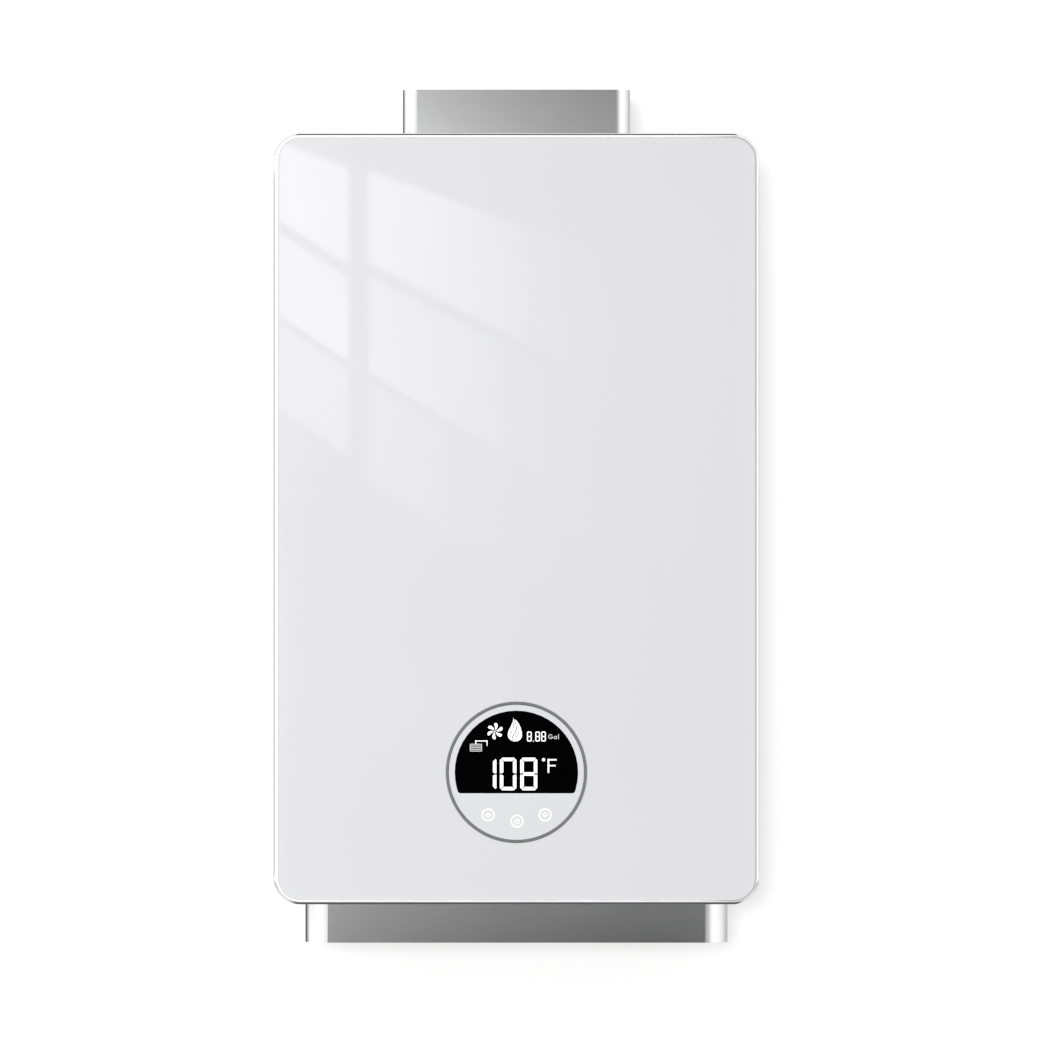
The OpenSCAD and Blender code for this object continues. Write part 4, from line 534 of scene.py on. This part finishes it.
finishes = {
    "panelGlass": surface("panelGlass", "grain", {
        "Base": (0.785, 0.785, 0.808, 1), "Tint": (0.772, 0.772, 0.800, 1), "Grain Scale": 0.05,
        "Mottle Scale": 0.006, "Mottle": 0.6, "Roughness": 0.012, "Spread": 0.006}, IOR=1.5),
    "rimMetal": surface("rimMetal", "brush", {
        "Base": grey(0.95), "Tint": grey(0.90), "Stretch": (0.05, 1, 0.05), "Line Scale": 2.0,
        "Roughness": 0.015, "Spread": 0.006}, Metallic=1.0),
    "ringMetal": surface("ringMetal", "brush", {
        "Base": grey(0.27), "Tint": grey(0.22), "Stretch": (1, 0.05, 1), "Line Scale": 1.5,
        "Roughness": 0.5, "Spread": 0.12}, 0.06, Metallic=0.7),
    "touchWhite": surface("touchWhite", "grain", {
        "Base": (0.785, 0.788, 0.803, 1), "Tint": (0.775, 0.778, 0.797, 1), "Grain Scale": 0.08,
        "Mottle Scale": 0.01, "Mottle": 0.5, "Roughness": 0.05, "Spread": 0.02}, IOR=1.5),
    "lensBlack": surface("lensBlack", "grain", {
        "Base": (0.0006, 0.0006, 0.0009, 1), "Tint": (0.0012, 0.0012, 0.0016, 1), "Grain Scale": 0.2,
        "Mottle Scale": 0.02, "Mottle": 0.6, "Roughness": 0.06, "Spread": 0.03}, Specular_IOR_Level=0.025),
    "caseSilver": surface("caseSilver", "brush", {
        "Base": grey(0.74, 0.004), "Tint": grey(0.69, 0.006), "Stretch": (0.03, 0.03, 1), "Line Scale": 1.2,
        "Roughness": 0.05, "Spread": 0.02}, 0.02, Metallic=1.0),
    "zincSteel": surface("zincSteel", "spangle", {}, 0.05, Metallic=1.0),
    "brightSteel": surface("brightSteel", "brush", {
        "Base": grey(0.66, 0.01), "Tint": grey(0.5, 0.01), "Stretch": (1, 1, 0.05), "Line Scale": 3.0,
        "Roughness": 0.26, "Spread": 0.12}, 0.06, Metallic=1.0),
    "castAlloy": surface("castAlloy", "grain", {
        "Base": grey(0.56, 0.01), "Tint": grey(0.44, 0.01), "Grain Scale": 1.1, "Mottle Scale": 0.08,
        "Mottle": 0.6, "Roughness": 0.46, "Spread": 0.14}, 0.5, 0.25, Metallic=1.0),
    "copper": surface("copper", "patina", {}, 0.05, Metallic=1.0),
    "brass": surface("brass", "brush", {
        "Base": (0.80, 0.60, 0.28, 1), "Tint": (0.62, 0.43, 0.18, 1), "Stretch": (1, 1, 4),
        "Line Scale": 1.2, "Roughness": 0.24, "Spread": 0.16}, 0.08, Metallic=1.0),
    "rubber": surface("rubber", "grain", {
        "Base": grey(0.045), "Tint": grey(0.075), "Grain Scale": 1.6, "Mottle Scale": 0.1, "Mottle": 0.7,
        "Roughness": 0.78, "Spread": 0.12}, 0.35, 0.12),
    "foam": surface("foam", "cells", {}, 0.6, 0.4),
    "blackPlastic": surface("blackPlastic", "grain", {
        "Base": grey(0.03, 0.002), "Tint": grey(0.045, 0.002), "Grain Scale": 1.8, "Mottle Scale": 0.05,
        "Mottle": 0.5, "Roughness": 0.46, "Spread": 0.1}, 0.3, 0.08),
    "ceramic": surface("ceramic", "grain", {
        "Base": (0.86, 0.84, 0.78, 1), "Tint": (0.78, 0.74, 0.66, 1), "Grain Scale": 0.9,
        "Mottle Scale": 0.12, "Mottle": 0.5, "Roughness": 0.2, "Spread": 0.1}, 0.1, 0.05),
    "turbineWhite": surface("turbineWhite", "grain", {
        "Base": (0.80, 0.80, 0.76, 1), "Tint": (0.72, 0.72, 0.68, 1), "Grain Scale": 1.2,
        "Mottle Scale": 0.15, "Mottle": 0.4, "Roughness": 0.4, "Spread": 0.1}, 0.15, 0.05),
    "circuitBoard": surface("circuitBoard", "tracks", {}, 0.25, 0.06),
    "litWhite": lightSurface("litWhite", grey(0.9), 0.62),
    "litGrey": lightSurface("litGrey", grey(0.62), 0.34),
    "keyWhite": lightSurface("keyWhite", grey(0.9, 0.02), 0.3),
    "sealBead": surface("sealBead", "grain", {
        "Base": grey(0.80), "Tint": grey(0.76), "Grain Scale": 1.2, "Mottle Scale": 0.08, "Mottle": 0.6,
        "Roughness": 0.45, "Spread": 0.1}, 0.2, 0.05),
}

dressing = {
    "panelGlass": ["glass_panel"],
    "rimMetal": ["cover_frame"],
    "ringMetal": ["display_ring"],
    "touchWhite": ["touch_panel"],
    "lensBlack": ["display_lens"],
    "caseSilver": ["case_shell", "top_plate", "flue_box", "flue_top"],
    "zincSteel": ["cover_pan", "base_plate", "wall_bracket", "hanging_rail", "flue_collar", "backdraft_flap",
                  "fan_volute", "fan_front_plate", "exhaust_hood", "burner_tray"],
    "brightSteel": ["cover_screws", "case_screws", "flap_pin", "fan_shaft", "fan_wheel", "burner_strips",
                    "main_plunger", "modulating_armature", "inlet_filter"],
    "castAlloy": ["fan_motor", "gas_manifold", "gas_valve_body"],
    "copper": ["exchanger_shell", "exchanger_fins", "exchanger_tubes", "combustion_chamber", "water_coil",
               "hot_pipe"],
    "brass": ["touch_springs", "outlet_sensor", "gas_inlet", "water_inlet", "hot_outlet"],
    "rubber": ["wall_bumpers", "cord_grommet", "flue_gasket"],
    "foam": ["glass_tape", "cover_seal"],
    "blackPlastic": ["display_housing", "limit_thermostats", "main_solenoid", "modulating_coil",
                     "flow_sensor", "drain_plug", "control_box", "control_lid", "igniter_unit"],
    "ceramic": ["spark_electrodes"],
    "turbineWhite": ["flow_turbine"],
    "circuitBoard": ["display_board", "control_board"],
}
for finish, names in dressing.items():
    for name in names:
        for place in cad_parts[name].material_slots:
            place.material = finishes[finish]
undressed = set(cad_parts) - {n for names in dressing.values() for n in names}
print("finishes:", len(finishes), "- nodes without one:", sorted(undressed))


# new pieces are drawn in millimetres and end up at the origin, in metres
meshSet = {"merge": 0.0005, "sharp": 35}


def finishPiece(name, bm, material, body, smooth=False, place=Matrix.Identity(4)):
    bmesh.ops.remove_doubles(bm, verts=bm.verts, dist=meshSet["merge"])
    bmesh.ops.recalc_face_normals(bm, faces=bm.faces)
    bmesh.ops.transform(bm, matrix=Matrix.Scale(mm, 4) @ place, verts=bm.verts)
    mesh = bpy.data.meshes.new(name)
    bm.to_mesh(mesh)
    bm.free()
    if smooth:
        mesh.shade_smooth()
        mesh.set_sharp_from_angle(angle=math.radians(meshSet["sharp"]))
    mesh.materials.append(finishes[material])
    piece = bpy.data.objects.new(name, mesh)
    scene.collection.objects.link(piece)
    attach(piece, body)
    return piece


def onlyVerts(geom):
    return [g for g in geom if isinstance(g, bmesh.types.BMVert)]


def onlyEdges(geom):
    return [g for g in geom if isinstance(g, bmesh.types.BMEdge)]


# symbols of the display and the touch keys, in millimetres from the pod's centre, x right and y up
# figures: x, width and lit segments; strokes: width, then points; bands: centre, radii, angles, steps
# dots: centre, radius, steps; bars: two corners; petals: one outline set round a centre
symbolSet = {"thick": 0.06, "veinThick": 0.08}
symbols = {
    "litTemperature": {
        "figures": {"y": -12.6, "height": 22.9, "stroke": 2.45, "gap": 0.5, "chamfer": 1.7,
                    "row": [(-25.4, 11.4, "bc"), (-11.6, 11.6, "abcdef"), (2.7, 11.9, "abcdefg")]},
        "dots": [(19.0, 8.8, 1.15, 20)],
        "strokes": [(1.15, (22.4, -0.1), (22.4, 9.1)), (1.0, (22.2, 8.8), (27.9, 8.8)),
                    (1.0, (22.2, 4.7), (27.3, 4.7))],
    },
    "litVolume": {
        "figures": {"y": 21.6, "height": 7.0, "stroke": 0.75, "gap": 0.1, "chamfer": 0.6,
                    "row": [(x, 3.3, "abcdefg") for x in (7.4, 13.2, 17.3)]},
        "dots": [(11.9, 21.9, 0.4, 12)],
    },
    "litUnit": {
        "finish": "litGrey",
        "bands": [(23.9, 25.0, 1.15, 1.65, 40, 330, 18), (27.2, 24.4, 0.62, 1.08, 0, 360, 16)],
        "strokes": [(0.45, (24.1, 24.75), (25.35, 24.75), (25.35, 23.8)),
                    (0.42, (28.15, 23.4), (28.15, 25.4)), (0.45, (29.5, 23.4), (29.5, 26.7))],
    },
    "litFanSymbol": {
        "petals": {"centre": (-14.98, 28.84), "count": 6, "start": 88, "outline": [
            (0.8, -0.25), (1.7, -1.15), (3.2, -1.75), (4.8, -1.65), (5.7, -0.75), (5.6, 0.45), (4.6, 0.75),
            (3.1, 0.15), (1.8, 0.1)]},
        "dots": [(-14.98, 28.84, 0.5, 12)],
    },
    "litFlameSymbol": {
        "plates": [
            [(-2.3, 38.3), (-2.2, 37.0), (-2.6, 35.2), (-3.9, 32.2), (-5.6, 28.9), (-6.1, 26.2), (-5.6, 24.2),
             (-4.3, 22.7), (-3.2, 22.1), (-3.3, 23.6), (-2.6, 25.9), (-0.9, 28.4), (-0.2, 30.4), (-0.3, 32.6),
             (-1.3, 35.6)],
            [(-1.5, 37.3), (-0.6, 35.0), (0.2, 32.3), (0.3, 30.1), (-0.4, 28.2), (-2.0, 25.7), (-2.8, 23.6),
             (-2.7, 21.9), (-1.1, 21.6), (1.0, 21.9), (2.9, 23.1), (3.9, 25.3), (3.8, 28.0), (2.9, 31.4),
             (1.3, 34.6), (-0.4, 36.6)],
        ],
    },
    "flameVeins": {
        "finish": "lensBlack", "slot": "lens_black", "thick": symbolSet["veinThick"],
        "strokes": [(0.42, (-2.0, 35.0), (-1.9, 32.0), (-3.2, 28.8), (-4.3, 26.0)),
                    (0.42, (1.9, 30.6), (1.6, 28.0), (0.3, 25.6), (-0.6, 23.4))],
    },
    "litTank": {
        "finish": "litGrey",
        "bars": [(-32.6, 14.6 + 1.2 * row, -24.1, 15.15 + 1.2 * row) for row in range(5)]
        + [(-32.6, 14.6, -32.1, 19.9), (-24.6, 14.6, -24.1, 19.9)],
    },
    "litTap": {
        "bars": [(-28.8, 19.9, -28.0, 22.3), (-28.8, 21.6, -20.2, 22.3)],
        "plates": [[(-21.0, 21.6), (-20.75, 18.4), (-20.35, 18.4), (-20.2, 21.6)]],
    },
    "touchSymbols": {
        "finish": "keyWhite",
        "bands": [(x, y, 3.6, 4.55, 0, 360, 36) for x, y in ((-19.8, -29.8), (0.4, -34.2), (20.1, -29.8))]
        + [(0.4, -34.5, 1.4, 2.0, -235, 55, 24)],
        "strokes": [(0.8, (-21.8, -30.4), (-19.8, -28.5), (-17.8, -30.4)),
                    (0.7, (-20.7, -31.5), (-19.8, -30.6), (-18.9, -31.5)),
                    (0.8, (18.1, -29.2), (20.1, -31.1), (22.1, -29.2)),
                    (0.7, (19.2, -28.1), (20.1, -29.0), (21.0, -28.1)), (0.7, (0.4, -34.6), (0.4, -32.2))],
    },
}


def plate(bm, points):
    bm.faces.new([bm.verts.new((x, y, 0)) for x, y in points])


# raises flat faces into plates
def thicken(bm, thick):
    bm.normal_update()
    faces = list(bm.faces)
    for face in faces:
        if face.normal.z < 0:
            face.normal_flip()
    made = bmesh.ops.extrude_face_region(bm, geom=faces)
    bmesh.ops.translate(bm, verts=onlyVerts(made["geom"]), vec=(0, 0, thick))


# one seven-segment figure; parts lists the lit segments: a top, b c right, d bottom, e f left, g middle
def segmentFigure(bm, x, width, parts, style):
    s, c, g, y = style["stroke"], style["chamfer"], style["gap"], style["y"]
    far, top, half = x + width, y + style["height"], y + style["height"] / 2
    flatTop = [(x + c, top), (far - c, top), (far - c * 0.55, top - c * 0.45),
               (far - s - g, top - s), (x + s + g, top - s), (x + c * 0.55, top - c * 0.45)]
    leftUp = [(x, half + g), (x, top - c), (x + c * 0.45, top - c * 0.6),
              (x + s, top - s - g), (x + s, half + s / 2), (x + s / 2, half + g)]
    middle = [(x + s * 0.7, half), (x + s * 1.1, half + s / 2), (far - s * 1.1, half + s / 2),
              (far - s * 0.7, half), (far - s * 1.1, half - s / 2), (x + s * 1.1, half - s / 2)]

    def across(points):
        return [(x + far - px, py) for px, py in points]

    def down(points):
        return [(px, y + top - py) for px, py in points]

    shapes = {"a": flatTop, "f": leftUp, "g": middle, "b": across(leftUp), "e": down(leftUp),
              "c": down(across(leftUp)), "d": down(flatTop)}
    for part in parts:
        plate(bm, shapes[part])


def arcBand(bm, cx, cy, r0, r1, a0, a1, steps):
    a = math.radians(a0)
    ends = [bm.verts.new((cx + r * math.cos(a), cy + r * math.sin(a), 0)) for r in (r0, r1)]
    bmesh.ops.spin(bm, geom=ends + [bm.edges.new(ends)], axis=(0, 0, 1), cent=(cx, cy, 0),
                   angle=math.radians(a1 - a0), steps=steps, use_merge=a1 - a0 == 360)


def stroke(bm, width, points):
    for (x0, y0), (x1, y1) in zip(points, points[1:]):
        run = Vector((x1 - x0, y1 - y0)).normalized() * width / 2
        side, over = Vector((-run.y, run.x)), run * 0.4
        first, last = Vector((x0, y0)) - over, Vector((x1, y1)) + over
        plate(bm, [first + side, first - side, last - side, last + side])


def setRound(bm, petals):
    cx, cy = petals["centre"]
    for n in range(petals["count"]):
        a = math.radians(360 / petals["count"] * n + petals["start"])
        plate(bm, [(cx + x * math.cos(a) - y * math.sin(a), cy + x * math.sin(a) + y * math.cos(a))
                   for x, y in petals["outline"]])


def drawSymbol(name, symbol, stand):
    bm = bmesh.new()
    for x, width, parts in symbol.get("figures", {}).get("row", []):
        segmentFigure(bm, x, width, parts, symbol["figures"])
    if "petals" in symbol:
        setRound(bm, symbol["petals"])
    for points in symbol.get("plates", []):
        plate(bm, points)
    for x0, y0, x1, y1 in symbol.get("bars", []):
        plate(bm, [(x0, y0), (x1, y0), (x1, y1), (x0, y1)])
    for band in symbol.get("bands", []):
        arcBand(bm, *band)
    for cx, cy, radius, steps in symbol.get("dots", []):
        bmesh.ops.create_circle(bm, cap_ends=True, segments=steps, radius=radius,
                                matrix=Matrix.Translation((cx, cy, 0)))
    for width, *points in symbol.get("strokes", []):
        stroke(bm, width, points)
    thicken(bm, symbol.get("thick", symbolSet["thick"]))
    finishPiece(name, bm, symbol.get("finish", "litWhite"), "cover",
                place=stand)


lensFront, podHeight = nodeBox("display_lens")[0].y, nodeBox("touch_panel")[2].z
for name, symbol in symbols.items():
    drawSymbol(name, symbol, Matrix.Translation((0, lensFront, podHeight)) @ upright)
print("display figures and touch symbols drawn")


# thin silicone bead that closes the joint between glass and frame; front is how far it lies behind the rim
beadSet = {"front": 0.38, "width": 0.8, "depth": 1.4, "segments": 10, "lip": 0.25, "lipSegments": 3,
           "lipAngle": 0.8, "near": 0.01}


def buildBead():
    b = beadSet
    low, high, middle = nodeBox("cover_frame")
    half = (high - low) / 2
    bm = bmesh.new()
    bmesh.ops.create_grid(bm, x_segments=1, y_segments=1, size=1.0)
    bmesh.ops.scale(bm, vec=(half.x - rim["wide"], half.z - rim["wide"], 1), verts=bm.verts)
    bmesh.ops.bevel(bm, geom=bm.verts[:], offset=rim["corner"], offset_type="OFFSET", affect="VERTICES",
                    segments=b["segments"], profile=0.5, material=-1)
    bmesh.ops.inset_region(bm, faces=bm.faces[:], thickness=b["width"], use_boundary=True,
                           use_even_offset=True)
    bmesh.ops.delete(bm, geom=[max(bm.faces, key=lambda f: f.calc_area())], context="FACES")
    thicken(bm, b["depth"])
    lip = [e for e in bm.edges if all(v.co.z > b["depth"] - b["near"] for v in e.verts) and e.is_manifold
           and e.calc_face_angle(0) > b["lipAngle"]]
    bmesh.ops.bevel(bm, geom=lip, offset=b["lip"], offset_type="OFFSET", affect="EDGES",
                    segments=b["lipSegments"], profile=0.5, material=-1)
    stand = Matrix.Translation((0, low.y + b["front"] + b["depth"], middle.z))
    finishPiece("sealBead", bm, "sealBead", "cover", True, stand @ upright)


buildBead()


# copper pipes on the same routes as the solids, with smooth walls
coilSet = {"radius": 5.5, "turns": 2, "x": 101.4, "frontY": -100.4, "backY": -19.6, "bend": 20.4,
           "lowZ": -249.5, "highZ": -177.0, "resolution": 6, "steps": 8, "bendSteps": 10, "bendShare": 0.35}
coilRise = [(95, -62, -396.5), (95, -62, -391.5), (95, -62, -384.5), (102.4, -62, -345.5),
            (102.4, -62, -315.5), (101.4, -62, -289.5), (101.4, -64, -267.5), (101.4, -71, -251.5)]
coilEnd = [(81, -19.6, -180), (97.4, -21.6, -174), (107.4, -29, -163), (111.4, -36, -156), (110.4, -36, -146),
           (106.4, -36, -138), (102, -36, -136), (99, -36, -136), (97, -36, -136)]
hotRoute = [(-97, -84, -136), (-99, -84, -136), (-102, -84, -136), (-112.4, -84, -140), (-116.4, -84, -148),
            (-116.4, -84, -160), (-116.4, -84, -255.5), (-114.4, -66, -315.5), (-109.4, -62, -345.5),
            (-95, -62, -388.5), (-95, -62, -418.5), (-95, -62, -446.5)]


# a smooth line through the points
def throughPoints(points):
    line = [Vector(p) for p in points]
    last = len(line) - 1
    out = []
    for i in range(last):
        a, b, c, d = line[max(i - 1, 0)], line[i], line[i + 1], line[min(i + 2, last)]
        for step in range(coilSet["steps"]):
            t = step / coilSet["steps"]
            out.append(0.5 * (2 * b + (c - a) * t + (2 * a - 5 * b + 4 * c - d) * t ** 2
                              + (3 * b - a - 3 * c + d) * t ** 3))
    return out + [line[last]]


def coilRoute():
    r, x = coilSet["bend"], coilSet["x"] - coilSet["bend"]
    front, back = coilSet["frontY"] + r, coilSet["backY"] - r
    corners = [(x, front, 0), (-x, front, 270), (-x, back, 180), (x, back, 90)]
    bends = len(corners) * coilSet["turns"]
    arcs = []
    for n in range(bends - 1):
        cx, cy, start = corners[n % len(corners)]
        for step in range(coilSet["bendSteps"] + 1):
            part = step / coilSet["bendSteps"]
            a = math.radians(start - 90 * part)
            share = (n + 0.5 + (part - 0.5) * coilSet["bendShare"]) / bends
            arcs.append(Vector((cx + r * math.cos(a), cy + r * math.sin(a),
                                coilSet["lowZ"] + (coilSet["highZ"] - coilSet["lowZ"]) * share)))
    return throughPoints(coilRise) + arcs + throughPoints(coilEnd)


def buildPipe(name, route, node):
    curve = bpy.data.curves.new(name + "Line", "CURVE")
    curve.dimensions = "3D"
    curve.bevel_depth = coilSet["radius"]
    curve.bevel_resolution = coilSet["resolution"]
    curve.use_fill_caps = True
    spline = curve.splines.new("POLY")
    spline.points.add(len(route) - 1)
    for point, place in zip(spline.points, route):
        point.co = (*place, 1)
    holder = bpy.data.objects.new(name + "Line", curve)
    scene.collection.objects.link(holder)
    bm = bmesh.new()
    drawn = holder.evaluated_get(bpy.context.evaluated_depsgraph_get())
    bm.from_mesh(drawn.to_mesh())
    drawn.to_mesh_clear()
    bpy.data.objects.remove(holder)
    bpy.data.curves.remove(curve)
    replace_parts(finishPiece(name, bm, "copper", "appliance", True), node)


buildPipe("coilPipe", coilRoute(), "water_coil")
buildPipe("hotWaterPipe", throughPoints(hotRoute), "hot_pipe")


# screws with cross recesses; recess is reach, half width and depth
# rings are radius and height from the recess outwards, then the shank
panScrew = {
    "recess": (1.75, 0.36, 1.1),
    "rings": [(2.5, 1.75), (3.2, 1.45), (3.65, 0.95), (3.8, 0.4), (3.8, 0.0), (1.9, 0.0), (1.9, -5.2),
              (0.3, -7.0)],
}
sunkScrew = {
    "recess": (2.0, 0.42, 1.3),
    "rings": [(2.9, 0.0), (3.8, -0.02), (4.0, -0.15), (2.05, -2.0), (2.0, -11.0), (0.4, -12.5)],
}
# places in millimetres on the part that each screw holds, and turns in degrees
screwSet = {
    "segments": 24, "rise": 0.04, "taper": 0.6,
    "caseY": (-88, -36), "caseZ": (-461.5, 51.0), "caseTurn": (17, 31),
    "flueIn": 4.5, "flueY": (-87, -37), "flueSheet": 1.0, "flueTurn": (23, 40),
    "manifoldX": 66, "manifoldZ": -302, "manifoldTurn": 35,
    "coverX": 110, "coverY": -123, "coverTurn": 28,
}


def startRing(bm, segments, radius, height):
    verts = bmesh.ops.create_circle(bm, segments=segments, radius=radius)["verts"]
    bmesh.ops.translate(bm, verts=verts, vec=(0, 0, height))
    return verts, list({e for v in verts for e in v.link_edges})


def growRings(bm, loop, rings):
    every = set()
    for (r0, z0), (r1, z1) in zip(rings, rings[1:]):
        grown = bmesh.ops.extrude_edge_only(bm, edges=loop)["geom"]
        verts, loop = onlyVerts(grown), onlyEdges(grown)
        bmesh.ops.scale(bm, vec=(r1 / r0, r1 / r0, 1), verts=verts)
        bmesh.ops.translate(bm, verts=verts, vec=(0, 0, z1 - z0))
        every |= set(verts)
    return loop, every


def buildScrew(bm, screw, place, facing, turn):
    reach, half, depth = screw["recess"]
    top = screw["rings"][0][1] + screwSet["rise"]
    made, start = startRing(bm, screwSet["segments"], *screw["rings"][0])
    arm = [(reach, -half), (reach, half), (half, half), (half, reach), (-half, reach), (-half, half),
           (-reach, half), (-reach, -half), (-half, -half), (-half, -reach), (half, -reach), (half, -half)]
    cross = [bm.verts.new((x, y, top)) for x, y in arm]
    crossEdges = [bm.edges.new((cross[i], cross[(i + 1) % len(arm)])) for i in range(len(arm))]
    bmesh.ops.bridge_loops(bm, edges=start + crossEdges)
    sunk = bmesh.ops.extrude_edge_only(bm, edges=crossEdges)["geom"]
    floorVerts = onlyVerts(sunk)
    bmesh.ops.scale(bm, vec=(screwSet["taper"], screwSet["taper"], 1), verts=floorVerts)
    bmesh.ops.translate(bm, verts=floorVerts, vec=(0, 0, -depth))
    bmesh.ops.edgeloop_fill(bm, edges=onlyEdges(sunk))
    loop, grown = growRings(bm, start, screw["rings"])
    bmesh.ops.edgeloop_fill(bm, edges=loop)
    every = set(made) | set(cross) | set(floorVerts) | grown
    stand = Matrix.Translation(place) @ facing @ Matrix.Rotation(math.radians(turn), 4, "Z")
    bmesh.ops.transform(bm, matrix=stand, verts=list(every))


def buildScrews():
    s = screwSet
    caseX = nodeBox("case_shell")[1].x
    flueX, flueZ = nodeBox("flue_box")[1].x - s["flueIn"], nodeBox("flue_box")[0].z + s["flueSheet"]
    manifoldY, coverZ = nodeBox("gas_manifold")[0].y, nodeBox("cover_frame")[0].z
    bm = bmesh.new()
    for side in (-1, 1):
        out = Matrix.Rotation(math.radians(90 * side), 4, "Y")
        for y in s["caseY"]:
            for z in s["caseZ"]:
                buildScrew(bm, panScrew, (side * caseX, y, z), out,
                           s["caseTurn"][0] * y + s["caseTurn"][1] * side)
        for y in s["flueY"]:
            buildScrew(bm, panScrew, (side * flueX, y, flueZ), Matrix.Identity(4),
                       s["flueTurn"][0] * y + s["flueTurn"][1] * side)
        buildScrew(bm, panScrew, (side * s["manifoldX"], manifoldY, s["manifoldZ"]), upright,
                   s["manifoldTurn"] * side)
    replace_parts(finishPiece("caseScrews", bm, "brightSteel", "appliance", True), "case_screws")
    bm = bmesh.new()
    for side in (-1, 1):
        buildScrew(bm, sunkScrew, (side * s["coverX"], s["coverY"], coverZ), upright @ upright,
                   s["coverTurn"] * side)
    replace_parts(finishPiece("coverScrews", bm, "brightSteel", "cover", True), "cover_screws")


buildScrews()


# fan motor with vents in its end and grooves round it
# rings are radius and height above the fan's front plate
# vents and grooves: how many facets make one repeat, and how many of them are sunk
motorSet = {
    "segments": 48,
    "rings": [(3.2, 27.2), (6.0, 27.2), (6.8, 26.5), (6.8, 25.6), (9.0, 25.6), (17.5, 25.6), (19.8, 25.6),
              (21.6, 25.1), (23.0, 23.8), (23.8, 22.0), (24.0, 20.5), (24.0, 9.5), (24.0, 7.5), (23.2, 5.2),
              (21.5, 4.2), (19.0, 4.0), (3.0, 4.0)],
    "ventIn": 9.0, "ventOut": 17.5, "ventDeep": 2.2, "vents": (6, 4),
    "grooveLow": 9.5, "grooveHigh": 20.5, "grooveIn": 0.94, "grooves": (4, 2),
    "legs": (90, 210, 330), "legReach": 18.0, "legRadius": 2.5, "legHeight": 5.0, "legSegments": 20,
}


def buildMotor():
    bm = bmesh.new()
    m = motorSet
    _, start = startRing(bm, m["segments"], *m["rings"][0])
    loop, _ = growRings(bm, start, m["rings"])
    bmesh.ops.edgeloop_fill(bm, edges=start)
    bmesh.ops.edgeloop_fill(bm, edges=loop)
    vents, grooves = [], []
    for face in bm.faces:
        centre = face.calc_center_median()
        away = centre.xy.length
        facet = int(math.degrees(math.atan2(centre.y, centre.x)) % 360 / (360 / m["segments"]))
        if m["ventIn"] < away < m["ventOut"] and centre.z > m["grooveHigh"]:
            if facet % m["vents"][0] < m["vents"][1]:
                vents.append(face)
        if away > m["ventOut"] and m["grooveLow"] < centre.z < m["grooveHigh"]:
            if facet % m["grooves"][0] < m["grooves"][1]:
                grooves.append(face)
    for faces, move in ((vents, Matrix.Translation((0, 0, -m["ventDeep"]))),
                        (grooves, Matrix.Diagonal((m["grooveIn"], m["grooveIn"], 1, 1)))):
        sunk = bmesh.ops.extrude_face_region(bm, geom=faces)["geom"]
        bmesh.ops.transform(bm, matrix=move, verts=onlyVerts(sunk))
        bmesh.ops.delete(bm, geom=[f for f in faces if f.is_valid], context="FACES")
    for angle in m["legs"]:
        a = math.radians(angle)
        foot = (m["legReach"] * math.cos(a), m["legReach"] * math.sin(a), m["legHeight"] / 2)
        bmesh.ops.create_cone(bm, cap_ends=True, segments=m["legSegments"], radius1=m["legRadius"],
                              radius2=m["legRadius"], depth=m["legHeight"], matrix=Matrix.Translation(foot))
    axle = nodeBox("fan_shaft")[2]
    stand = Matrix.Translation((axle.x, nodeBox("fan_front_plate")[0].y, axle.z)) @ upright
    piece = finishPiece("motorHousing", bm, "castAlloy", "appliance", True, stand)
    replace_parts(piece, "fan_motor")


buildMotor()


# pipe threads: a ridge spun round each connection with a rise; ridge is its outline, out and up
threadSet = {"nodes": ("water_inlet", "hot_outlet", "gas_inlet"), "collar": 19.0, "radius": 10.4,
             "ridge": ((-0.35, -0.75), (0.32, -0.12), (0.32, 0.12), (-0.35, 0.75)),
             "pitch": 1.81, "turns": 7, "start": 2.0, "steps": 36}


def buildThreads():
    bm = bmesh.new()
    t = threadSet
    for node in t["nodes"]:
        low, _, middle = nodeBox(node)
        x, y, z = low.x + t["collar"], middle.y, low.z + t["start"]
        corners = [bm.verts.new((x + t["radius"] + out, y, z + up)) for out, up in t["ridge"]]
        edges = [bm.edges.new((corners[i], corners[(i + 1) % len(corners)])) for i in range(len(corners))]
        bmesh.ops.spin(bm, geom=corners + edges, axis=(0, 0, 1), cent=(x, y, 0),
                       angle=2 * math.pi * t["turns"], steps=t["steps"] * t["turns"],
                       dvec=(0, 0, t["pitch"] / t["steps"]))
    bmesh.ops.holes_fill(bm, edges=bm.edges, sides=4)
    finishPiece("pipeThreads", bm, "brass", "appliance", True)


buildThreads()
print("bead, pipes, screws, motor and threads built")
